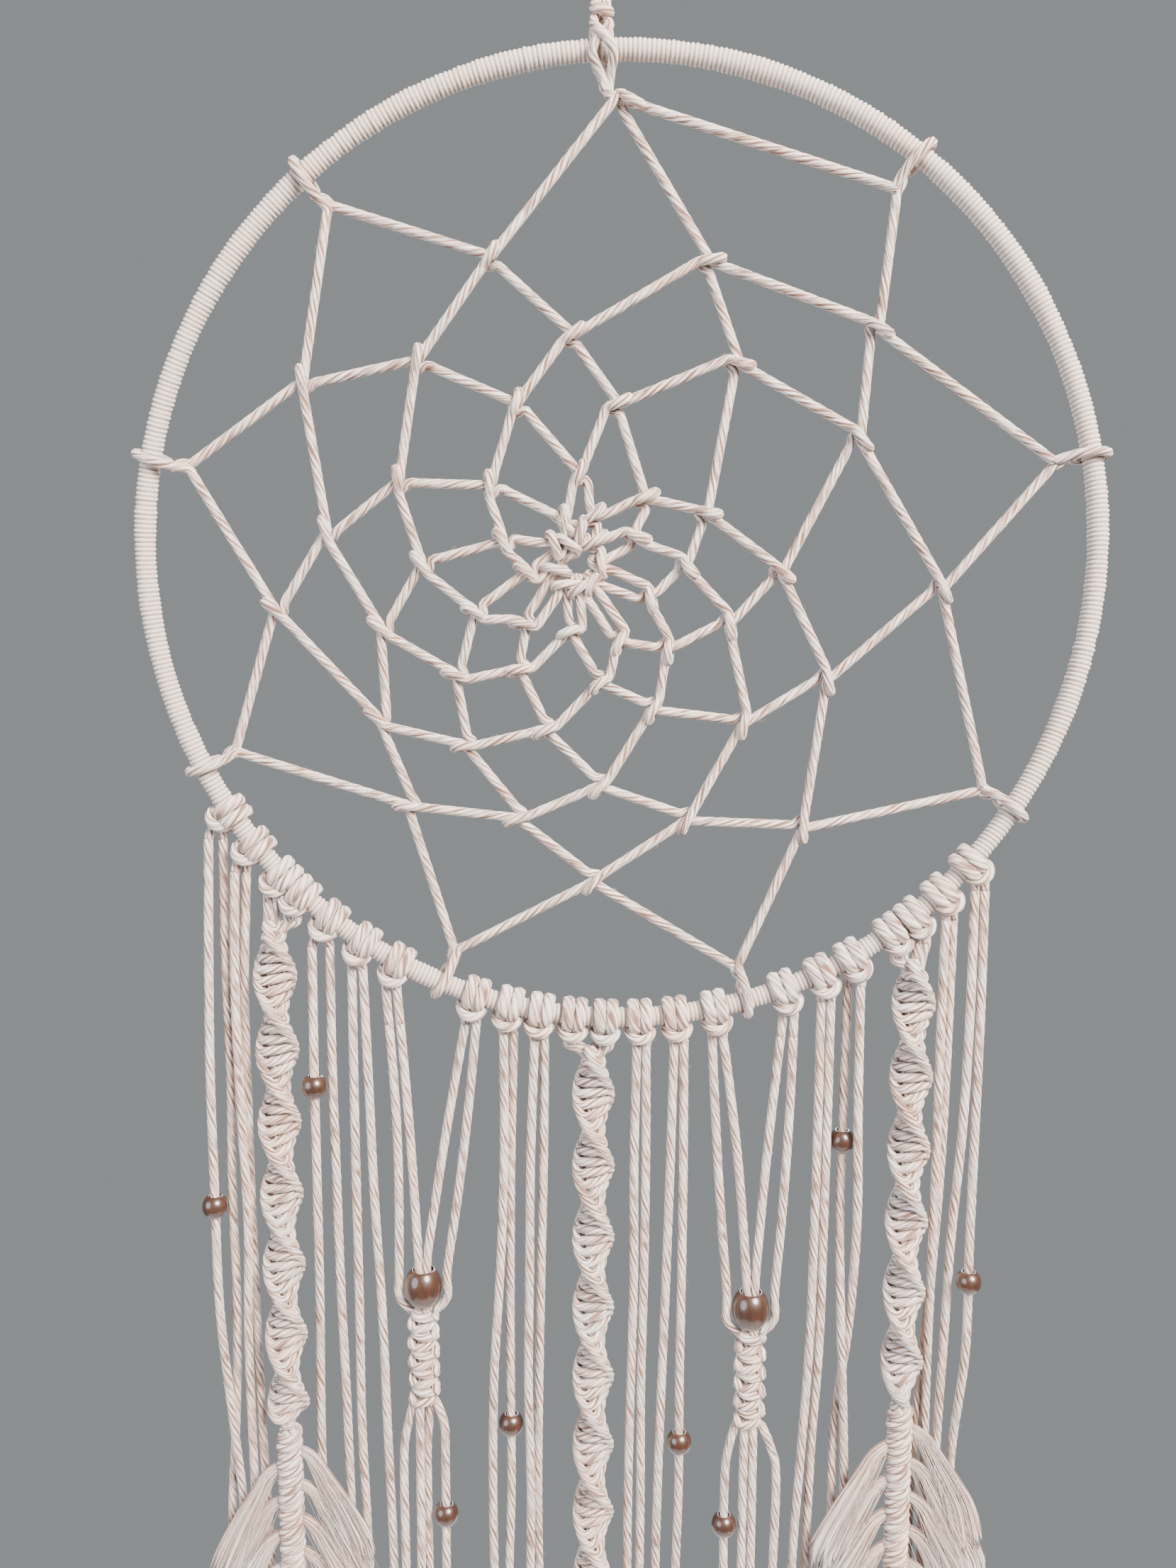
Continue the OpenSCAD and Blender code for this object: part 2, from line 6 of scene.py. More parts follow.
import bpy
import numpy as np
from mathutils import Euler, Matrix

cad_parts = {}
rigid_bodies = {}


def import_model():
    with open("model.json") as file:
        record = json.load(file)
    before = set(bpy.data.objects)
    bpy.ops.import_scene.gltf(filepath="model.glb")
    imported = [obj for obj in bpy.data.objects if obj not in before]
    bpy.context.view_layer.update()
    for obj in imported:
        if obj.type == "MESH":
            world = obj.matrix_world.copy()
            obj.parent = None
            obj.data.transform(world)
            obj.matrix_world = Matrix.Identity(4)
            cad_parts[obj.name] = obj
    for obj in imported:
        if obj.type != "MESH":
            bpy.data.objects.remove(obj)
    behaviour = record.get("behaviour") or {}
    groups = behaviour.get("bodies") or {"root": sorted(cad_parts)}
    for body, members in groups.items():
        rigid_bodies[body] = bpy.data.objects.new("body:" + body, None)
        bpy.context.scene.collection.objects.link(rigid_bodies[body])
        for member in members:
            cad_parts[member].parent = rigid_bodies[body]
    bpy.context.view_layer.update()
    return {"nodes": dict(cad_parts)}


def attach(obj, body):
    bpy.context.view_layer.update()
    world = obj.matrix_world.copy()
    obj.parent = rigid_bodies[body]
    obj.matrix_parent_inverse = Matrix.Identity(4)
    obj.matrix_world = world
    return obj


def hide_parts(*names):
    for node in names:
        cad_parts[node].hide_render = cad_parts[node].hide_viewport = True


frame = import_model()
print("frame loaded")

mm = 0.001


# ---- camera and light ----
viewSet = {
    "place": (-4.0, -403.0, -276.6),
    "pitchDown": 7.2,
    "roll": 0.0,
    "lens": 29.1,
    "sensor": 36.0,
}
cameraData = bpy.data.cameras.new("viewCamera")
cameraData.lens = viewSet["lens"]
cameraData.sensor_width = viewSet["sensor"]
cameraData.sensor_fit = "AUTO"
cameraData.clip_start = 0.01
cameraData.clip_end = 20
camera = bpy.data.objects.new("viewCamera", cameraData)
camera.location = [c * mm for c in viewSet["place"]]
camera.rotation_euler = Euler(
    (math.radians(90 - viewSet["pitchDown"]), math.radians(viewSet["roll"]), 0), "YXZ"
)
bpy.context.scene.collection.objects.link(camera)
bpy.context.scene.camera = camera

lightSet = {
    "keySoft": {"place": (0.75, -0.95, 0.55), "size": 0.9, "watts": 138, "hex": "#fff6ec"},
    "sideSoft": {"place": (-1.1, -0.8, -0.1), "size": 1.1, "watts": 26, "hex": "#e8f0ff"},
    "backSoft": {"place": (0.3, 1.3, 0.35), "size": 1.3, "watts": 40, "hex": "#f2f5ff"},
}


def linearColour(hexText):
    # sRGB to linear: c/12.92 below 0.04045, else ((c + 0.055) / 1.055) ^ 2.4
    parts = [int(hexText[i : i + 2], 16) / 255 for i in (1, 3, 5)]
    return [c / 12.92 if c <= 0.04045 else ((c + 0.055) / 1.055) ** 2.4 for c in parts] + [1.0]


for lightName, one in lightSet.items():
    lamp = bpy.data.lights.new(lightName, "AREA")
    lamp.shape = "DISK"
    lamp.size = one["size"]
    lamp.energy = one["watts"]
    lamp.color = linearColour(one["hex"])[:3]
    holder = bpy.data.objects.new(lightName, lamp)
    holder.location = one["place"]
    aim = np.array([0.0, 0.0, -0.36]) - np.array(one["place"])
    holder.rotation_euler = (
        math.atan2(math.hypot(aim[0], aim[1]), -aim[2]),
        0,
        math.atan2(aim[1], aim[0]) - math.pi / 2,
    )
    bpy.context.scene.collection.objects.link(holder)

room = bpy.data.worlds.new("softRoom")
room.use_nodes = True
room.node_tree.nodes["Background"].inputs["Color"].default_value = linearColour("#999c9e")
room.node_tree.nodes["Background"].inputs["Strength"].default_value = 0.86
bpy.context.scene.world = room
print("camera and lights set")


# ---- materials ----
def addNode(tree, kind, links=None, values=None, **settings):
    # adds one node, sets its options and unlinked inputs, and links the rest
    node = tree.nodes.new(kind)
    for key, value in settings.items():
        setattr(node, key, value)
    for key, value in (values or {}).items():
        node.inputs[key].default_value = value
    for key, source in (links or {}).items():
        tree.links.new(source, node.inputs[key])
    return node


def newMaterial(name):
    made = bpy.data.materials.new(name)
    made.use_nodes = True
    made.node_tree.nodes.clear()
    return made, made.node_tree


def fibreMaterial(name, look):
    # spun or combed cotton: matt, with painted shade in the furrows between the strands and in the low spots of
    # the strand and fibre noise, fine strands that follow the piece's own UV (u in mm along it, v once round or
    # across it) and slow drifts of tint
    made, tree = newMaterial(name)
    uv = addNode(tree, "ShaderNodeUVMap", uv_map="along")
    laid = addNode(
        tree, "ShaderNodeMapping", {"Vector": uv.outputs["UV"]},
        {"Scale": (0.6 / look["fibreLength"], look["strands"], 1)},
    )
    strand = addNode(
        tree, "ShaderNodeTexNoise", {"Vector": laid.outputs[0]},
        {"Scale": 1.0, "Detail": 1.0, "Roughness": 0.5},
    )
    stretched = addNode(
        tree, "ShaderNodeMapping", {"Vector": uv.outputs["UV"]},
        {"Scale": (1 / look["fibreLength"], look["strands"] * 2.4, 1)},
    )
    fibre = addNode(
        tree, "ShaderNodeTexNoise", {"Vector": stretched.outputs[0]},
        {"Scale": 1.0, "Detail": 3.0, "Roughness": 0.6},
    )
    place = addNode(tree, "ShaderNodeTexCoord")
    drift = addNode(
        tree, "ShaderNodeTexNoise", {"Vector": place.outputs["Object"]},
        {"Scale": 1000 / look["driftSize"], "Detail": 2.0},
    )
    tint = addNode(tree, "ShaderNodeValToRGB", {"Fac": drift.outputs["Fac"]})
    tint.color_ramp.elements[0].position = 0.36
    tint.color_ramp.elements[1].position = 0.64
    tint.color_ramp.elements[0].color = linearColour(look["coolHex"])
    tint.color_ramp.elements[1].color = linearColour(look["warmHex"])
    # painted shade: the crease attribute darkens the furrows between plies, threads and tufts
    crease = addNode(tree, "ShaderNodeAttribute", attribute_name="crease")
    # painted shade in the low spots of the fibre and strand noise, the same noise that makes the bump
    paintedFineShade = addNode(
        tree, "ShaderNodeMapRange", {"Value": fibre.outputs["Fac"]},
        {"From Min": 0.35, "From Max": 0.62, "To Min": look["paintedFibreShade"], "To Max": 0.0},
    )
    paintedStrandShade = addNode(
        tree, "ShaderNodeMapRange", {"Value": strand.outputs["Fac"]},
        {"From Min": 0.36, "From Max": 0.52, "To Min": look["paintedStrandShade"], "To Max": 0.0},
    )
    paintedFineShadeSum = addNode(
        tree, "ShaderNodeMath", {0: paintedFineShade.outputs[0], 1: paintedStrandShade.outputs[0]}, operation="ADD"
    )
    paintedCreaseShade = addNode(
        tree, "ShaderNodeMath", {0: crease.outputs["Fac"]}, {1: look["paintedCreaseShade"]}, operation="MULTIPLY"
    )
    paintedShadeSum = addNode(
        tree, "ShaderNodeMath", {0: paintedFineShadeSum.outputs[0], 1: paintedCreaseShade.outputs[0]}, operation="ADD",
        use_clamp=True
    )
    # the furrow colour is painted shade, mixed in by the summed darkening
    shade = addNode(
        tree, "ShaderNodeMix", {0: paintedShadeSum.outputs[0], 6: tint.outputs["Color"]},
        {7: linearColour(look["furrowShadeHex"])}, data_type="RGBA",
    )
    height = addNode(
        tree, "ShaderNodeMath", {0: strand.outputs["Fac"], 1: fibre.outputs["Fac"]}, operation="ADD"
    )
    bump = addNode(
        tree, "ShaderNodeBump", {"Height": height.outputs[0]},
        {"Strength": look["bump"], "Distance": look["bumpDepth"] * mm},
    )
    surface = addNode(
        tree, "ShaderNodeBsdfPrincipled", {"Base Color": shade.outputs[2], "Normal": bump.outputs[0]},
        {"Roughness": 0.93, "IOR": 1.45, "Sheen Weight": look["sheen"], "Sheen Roughness": 0.5,
         "Specular IOR Level": 0.2},
    )
    addNode(tree, "ShaderNodeOutputMaterial", {"Surface": surface.outputs[0]})
    return made


# single-twist cotton cord: real strands are about 0.35 mm; 0.6 mm here, so that they show
# the furrow colour and the three darkening amounts set the painted shade in furrows and low spots
cottonCord = fibreMaterial("spunCottonCord", {
    "strands": 11, "fibreLength": 5.0, "driftSize": 18.0, "coolHex": "#efe5df", "warmHex": "#f4dccd",
    "furrowShadeHex": "#7c5e50", "paintedFibreShade": 0.35, "paintedStrandShade": 0.65, "paintedCreaseShade": 0.55,
    "bump": 0.8, "bumpDepth": 0.5, "sheen": 0.25,
})
# the same cotton untwisted and combed: long parallel fibres with clefts between the tufts
# the furrow colour and the darkening amounts set the painted shade between the tufts and strands
brushedCotton = fibreMaterial("brushedCotton", {
    "strands": 22, "fibreLength": 22.0, "driftSize": 22.0, "coolHex": "#efe5df", "warmHex": "#f3dccf",
    "furrowShadeHex": "#7d6052", "paintedFibreShade": 0.35, "paintedStrandShade": 0.6, "paintedCreaseShade": 0.95,
    "bump": 0.7, "bumpDepth": 0.5, "sheen": 0.3,
})
# thin string wound over the ring: rows of round threads, a little greyer from handling
# the furrow colour and the darkening amounts set the painted shade between the threads
hoopString = fibreMaterial("woundCottonString", {
    "strands": 30, "fibreLength": 0.9, "driftSize": 14.0, "coolHex": "#e0d5ce", "warmHex": "#e5d1c4",
    "furrowShadeHex": "#7d675b", "paintedFibreShade": 0.28, "paintedStrandShade": 0.0, "paintedCreaseShade": 0.75,
    "bump": 0.4, "bumpDepth": 0.25, "sheen": 0.2,
})


def woodMaterial():
    # stained and lacquered schima wood: brown body with fine darker pores along the bore, clear gloss coat
    made, tree = newMaterial("lacqueredWood")
    place = addNode(tree, "ShaderNodeTexCoord")
    along = addNode(
        tree, "ShaderNodeMapping", {"Vector": place.outputs["Object"]}, {"Scale": (1000, 1000, 160)}
    )
    grain = addNode(
        tree, "ShaderNodeTexNoise", {"Vector": along.outputs[0]},
        {"Scale": 0.9, "Detail": 4.0, "Roughness": 0.65}
    )
    stain = addNode(tree, "ShaderNodeValToRGB", {"Fac": grain.outputs["Fac"]})
    stain.color_ramp.elements[0].position = 0.2
    stain.color_ramp.elements[0].color = linearColour("#241208")
    stain.color_ramp.elements[1].position = 0.8
    stain.color_ramp.elements[1].color = linearColour("#462613")
    bump = addNode(
        tree, "ShaderNodeBump", {"Height": grain.outputs["Fac"]}, {"Strength": 0.12, "Distance": 0.1 * mm}
    )
    surface = addNode(
        tree, "ShaderNodeBsdfPrincipled", {"Base Color": stain.outputs["Color"], "Normal": bump.outputs[0]},
        {"Roughness": 0.42, "IOR": 1.5, "Coat Weight": 0.85, "Coat Roughness": 0.12, "Coat IOR": 1.5},
    )
    addNode(tree, "ShaderNodeOutputMaterial", {"Surface": surface.outputs[0]})
    return made


def steelMaterial():
    # drawn and welded steel ring: grey metal with faint scratches along the wire
    made, tree = newMaterial("drawnSteel")
    place = addNode(tree, "ShaderNodeTexCoord")
    scratch = addNode(
        tree, "ShaderNodeTexNoise", {"Vector": place.outputs["Object"]}, {"Scale": 900.0, "Detail": 3.0}
    )
    rough = addNode(
        tree, "ShaderNodeMapRange", {"Value": scratch.outputs["Fac"]}, {"To Min": 0.28, "To Max": 0.5}
    )
    surface = addNode(
        tree, "ShaderNodeBsdfPrincipled", {"Roughness": rough.outputs[0]},
        {"Base Color": linearColour("#a3a29e"), "Metallic": 1.0},
    )
    addNode(tree, "ShaderNodeOutputMaterial", {"Surface": surface.outputs[0]})
    return made


beadWood = woodMaterial()
ringSteel = steelMaterial()
ringNode = frame["nodes"]["hoop_ring"]
for slotPlace in ringNode.material_slots:
    slotPlace.material = ringSteel
print("materials made")


# ---- surfaces ----
def newShape(points, faces, uvs, crease):
    # points (n, 3); faces and uvs: lists of (m, k) and (m, k, 2) arrays; crease (n,), 0 crest to 1 furrow,
    # which the cotton materials turn into painted shade
    return {"points": points, "faces": faces, "uvs": uvs, "crease": crease}


def joined(shapes):
    faces, uvs, start = [], [], 0
    for one in shapes:
        faces += [f + start for f in one["faces"]]
        uvs += one["uvs"]
        start += len(one["points"])
    return newShape(
        np.concatenate([one["points"] for one in shapes]), faces, uvs,
        np.concatenate([one["crease"] for one in shapes]),
    )


def makePiece(name, shapes, material, body, replaced):
    # one mesh object at the origin from arrays in millimetres
    whole = joined(shapes)
    mesh = bpy.data.meshes.new(name)
    mesh.vertices.add(len(whole["points"]))
    mesh.vertices.foreach_set("co", (whole["points"] * mm).astype(np.float32).ravel())
    sizes = np.concatenate([np.full(len(f), f.shape[1]) for f in whole["faces"]])
    corners = np.concatenate([f.ravel() for f in whole["faces"]])
    mesh.loops.add(len(corners))
    mesh.loops.foreach_set("vertex_index", corners.astype(np.int32))
    mesh.polygons.add(len(sizes))
    starts = np.concatenate([[0], np.cumsum(sizes)[:-1]])
    mesh.polygons.foreach_set("loop_start", starts.astype(np.int32))
    mesh.polygons.foreach_set("use_smooth", np.ones(len(sizes), dtype=bool))
    layer = mesh.uv_layers.new(name="along")
    layer.data.foreach_set(
        "uv", np.concatenate([u.reshape(-1, 2) for u in whole["uvs"]]).astype(np.float32).ravel()
    )
    # the crease attribute carries the painted shade of the furrows to the material
    depth = mesh.attributes.new("crease", "FLOAT", "POINT")
    depth.data.foreach_set("value", whole["crease"].astype(np.float32))
    mesh.update(calc_edges=True)
    mesh.validate()
    mesh.materials.append(material)
    piece = bpy.data.objects.new(name, mesh)
    bpy.context.scene.collection.objects.link(piece)
    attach(piece, body)
    if replaced:
        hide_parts(*replaced)
    return piece


def smoothPath(points, step=1.2):
    # Catmull-Rom through the points, with even knots, then resampled so that its rings lie step mm apart
    p = np.asarray(points, dtype=float)
    ends = np.vstack([2 * p[0] - p[1], p, 2 * p[-1] - p[-2]])
    t = np.linspace(0, 1, 13)[:-1][None, :, None]
    a, b, c, d = (ends[i : len(ends) - 3 + i][:, None, :] for i in range(4))
    curve = 0.5 * (
        2 * b + (c - a) * t + (2 * a - 5 * b + 4 * c - d) * t**2 + (3 * b - a - 3 * c + d) * t**3
    )
    curve = np.vstack([curve.reshape(-1, 3), p[-1:]])
    return evenPath(curve, step)


def evenPath(curve, step):
    run = np.concatenate([[0], np.cumsum(np.linalg.norm(np.diff(curve, axis=0), axis=1))])
    stations = np.linspace(0, run[-1], max(4, int(round(run[-1] / step)) + 1))
    return np.stack([np.interp(stations, run, curve[:, i]) for i in range(3)], axis=1)


def unit(v):
    return v / np.maximum(np.linalg.norm(v, axis=-1, keepdims=True), 1e-9)


def pathFrames(path):
    # tangent, and two normals carried from ring to ring without spinning about the path
    tangent = unit(np.gradient(path, axis=0))
    first = np.array([0.0, -1.0, 0.0])
    if abs(tangent[0] @ first) > 0.9:
        first = np.array([1.0, 0.0, 0.0])
    normal = np.empty_like(path)
    normal[0] = unit(first - tangent[0] * (tangent[0] @ first))
    for i in range(1, len(path)):
        carried = normal[i - 1] - tangent[i] * (tangent[i] @ normal[i - 1])
        normal[i] = carried / max(np.linalg.norm(carried), 1e-9)
    return tangent, normal, np.cross(tangent, normal)


twist = {
    "pitch": 21.0,       # one whole turn of the five plies, mm
    "plies": 5,
    "dip": 0.11,         # depth of the furrow between two plies, as a share of the radius
    "sides": 20,
    "radius": 1.5,
}


def cordShape(path, radius=None, squeeze=None, flat=(1.0, 1.0), phase=0.0, sides=None, dip=None):
    # a round section with five crests, r = radius * (1 - dip * (distance from a crest) ^ 2.2), carried
    # along the path and turned once every pitch, left down to right on the side that faces you
    radius = twist["radius"] if radius is None else radius
    sides = sides or twist["sides"]
    dip = twist["dip"] if dip is None else dip
    n = len(path)
    tangent, normal, binormal = pathFrames(path)
    run = np.concatenate([[0], np.cumsum(np.linalg.norm(np.diff(path, axis=0), axis=1))])
    around = np.arange(sides) / sides
    depth = (np.abs(((around * twist["plies"]) % 1) - 0.5) * 2) ** 2.2
    profile = np.broadcast_to(radius, n)[:, None] * (1 - dip * depth)[None, :]
    angle = 2 * np.pi * around[None, :] - (2 * np.pi / twist["pitch"] * run + phase)[:, None]
    offset = profile[..., None] * (
        np.cos(angle)[..., None] * normal[:, None, :] + np.sin(angle)[..., None] * binormal[:, None, :]
    )
    if squeeze is not None:
        # thinner along the squeeze direction, wider across it
        along = squeeze - tangent * np.sum(squeeze * tangent, axis=1, keepdims=True)
        amount = np.linalg.norm(along, axis=1, keepdims=True)
        along = unit(along)
        across = np.cross(tangent, along)
        thin = (flat[0] - 1) * amount
        wide = (flat[1] - 1) * amount
        offset = (
            offset
            + (
                thin[:, None, :] * np.sum(offset * along[:, None, :], axis=2, keepdims=True)
            ) * along[:, None, :]
            + (
                wide[:, None, :] * np.sum(offset * across[:, None, :], axis=2, keepdims=True)
            ) * across[:, None, :]
        )
    points = (path[:, None, :] + offset).reshape(-1, 3)
    i = np.arange(n - 1)[:, None] * sides
    k = np.arange(sides)[None, :]
    k1 = (k + 1) % sides
    quads = np.stack([i + k, i + k1, i + sides + k1, i + sides + k], axis=-1).reshape(-1, 4)
    u0 = np.broadcast_to(run[:-1, None], (n - 1, sides))
    u1 = np.broadcast_to(run[1:, None], (n - 1, sides))
    v0 = np.broadcast_to(k / sides, (n - 1, sides))
    v1 = v0 + 1 / sides
    quadUv = np.stack(
        [np.stack([u0, v0], -1), np.stack([u0, v1], -1), np.stack([u1, v1], -1), np.stack([u1, v0], -1)],
        axis=2
    ).reshape(-1, 4, 2)
    # both ends closed by a slightly domed fan
    total = n * sides
    points = np.vstack([points, path[0] - tangent[0] * 0.45, path[-1] + tangent[-1] * 0.45])
    kk = np.arange(sides)
    kk1 = (kk + 1) % sides
    base = (n - 1) * sides
    startFan = np.stack([np.full(sides, total), kk1, kk], axis=1)
    endFan = np.stack([np.full(sides, total + 1), base + kk, base + kk1], axis=1)
    fanUv = np.tile(np.array([[0.0, 0.5], [0.0, 0.0], [1.0, 0.0]]), (sides, 1, 1))
    # crease: furrow depth between the plies, painted as shade by the cord material; the end caps get 0.6 of it
    crease = np.concatenate([np.tile(depth, n), [0.6, 0.6]])
    return newShape(points, [quads, startFan, endFan], [quadUv, fanUv, fanUv], crease)


def fibreShape(roots, heads, bend, thick, rings=4):
    # thin tapering hairs: each runs from its root to its head with a bow, on a three-sided section
    count = len(roots)
    t = np.linspace(0, 1, rings)[None, :, None]
    line = roots[:, None, :] * (1 - t) + heads[:, None, :] * t + bend[:, None, :] * np.sin(np.pi * t)
    tangent = unit(np.gradient(line, axis=1))
    side = unit(np.cross(tangent, np.array([0.31, 0.87, 0.37])))
    other = np.cross(tangent, side)
    r = (thick[:, None, None] * (1 - 0.8 * t))[..., None]
    a = (np.arange(3) * 2 * np.pi / 3)[None, None, :, None]
    points = line[:, :, None, :] + r * (np.cos(a) * side[:, :, None, :] + np.sin(a) * other[:, :, None, :])
    points = points.reshape(-1, 3)
    i = np.arange(count)[:, None, None] * rings * 3
    j = np.arange(rings - 1)[None, :, None] * 3
    k = np.arange(3)[None, None, :]
    k1 = (k + 1) % 3
    quads = np.stack([i + j + k, i + j + k1, i + j + 3 + k1, i + j + 3 + k], axis=-1).reshape(-1, 4)
    caps = np.stack([i[:, 0, 0] + 2, i[:, 0, 0] + 1, i[:, 0, 0]], axis=1)
    last = i[:, 0, 0] + (rings - 1) * 3
    tips = np.stack([last, last + 1, last + 2], axis=1)
    quadUv = np.tile(np.array([[0.0, 0.0], [0.0, 0.03], [2.0, 0.03], [2.0, 0.0]]), (len(quads), 1, 1))
    capUv = np.zeros((count, 3, 2))
    return newShape(points, [quads, caps, tips], [quadUv, capUv, capUv], np.zeros(len(points)))


def fuzz(path, radius, seed, perMm=0.55, reach=1.6):
    # stray fibres that leave the cord at a low angle
    rng = np.random.default_rng(seed)
    count = max(3, int(len(path) * perMm * np.mean(np.linalg.norm(np.diff(path, axis=0), axis=1))))
    at = rng.integers(1, len(path) - 1, count)
    tangent, normal, binormal = pathFrames(path)
    angle = rng.uniform(0, 2 * np.pi, count)[:, None]
    out = np.cos(angle) * normal[at] + np.sin(angle) * binormal[at]
    roots = path[at] + out * radius * 0.8
    along = tangent[at] * rng.uniform(-3.4, 3.4, count)[:, None]
    heads = roots + out * rng.uniform(0.4, 1.0, count)[:, None] * reach * 0.7 + along
    bend = out * rng.uniform(-0.1, 0.3, count)[:, None] * reach + rng.normal(0, 0.25, (count, 3))
    return fibreShape(roots, heads, bend, rng.uniform(0.035, 0.06, count))


def frayedEnd(path, radius, seed, length=2.4, count=26):
    # a cut end opens into short loose strands
    rng = np.random.default_rng(seed)
    tangent, normal, binormal = pathFrames(path)
    angle = rng.uniform(0, 2 * np.pi, count)[:, None]
    out = np.cos(angle) * normal[-1] + np.sin(angle) * binormal[-1]
    share = np.sqrt(rng.uniform(0, 1, count))[:, None]
    roots = path[-1] + out * share * radius * 0.85 - tangent[-1] * 1.5
    heads = path[-1] + tangent[-1] * rng.uniform(
        0.5, 1.0, count
    )[:, None] * length + out * share * radius * 1.5
    return fibreShape(roots, heads, out * 0.15, np.full(count, 0.24), rings=4)


# ---- places, as in the part ----
hoop = {"centre": (6.5, 0.0, -255.5), "radius": 149.1, "tube": 3.4, "bottom": -152.5}
hoopCentre = np.array(hoop["centre"])
knotSet = {"barOut": 7.0, "barSide": 0.75, "barY": -2.2, "barD": 3.2, "cordD": 2.85, "gap": 0.5}


def polar(a, r):
    return np.array([r * math.cos(math.radians(a)), 0.0, r * math.sin(math.radians(a))])


def rimAt(a):
    return hoopCentre + polar(a, hoop["radius"])


def barTilt(a):
    return math.radians((a - 270) / 2)


def barAt(a):
    c, s = math.cos(math.radians(a)), math.sin(math.radians(a))
    out = knotSet["barOut"]
    return rimAt(a) + np.array([knotSet["barSide"] * out * c, knotSet["barY"], out * s])


def footAt(a):
    tilt = barTilt(a)
    drop = knotSet["barD"] / 2 / math.cos(tilt) + knotSet["cordD"] * 1.15 * abs(
        math.tan(tilt)
    ) + 2 * knotSet["gap"]
    return barAt(a) - np.array([0, knotSet["barY"], drop])


def route(start, drops, sides, depths):
    return start + np.stack(
        [np.array(sides, float), np.array(depths, float), -np.array(drops, float)], axis=1
    )


def atHeight(path, z):
    order = np.argsort(path[:, 2])
    return np.array([np.interp(z, path[order, 2], path[order, i]) for i in range(3)])


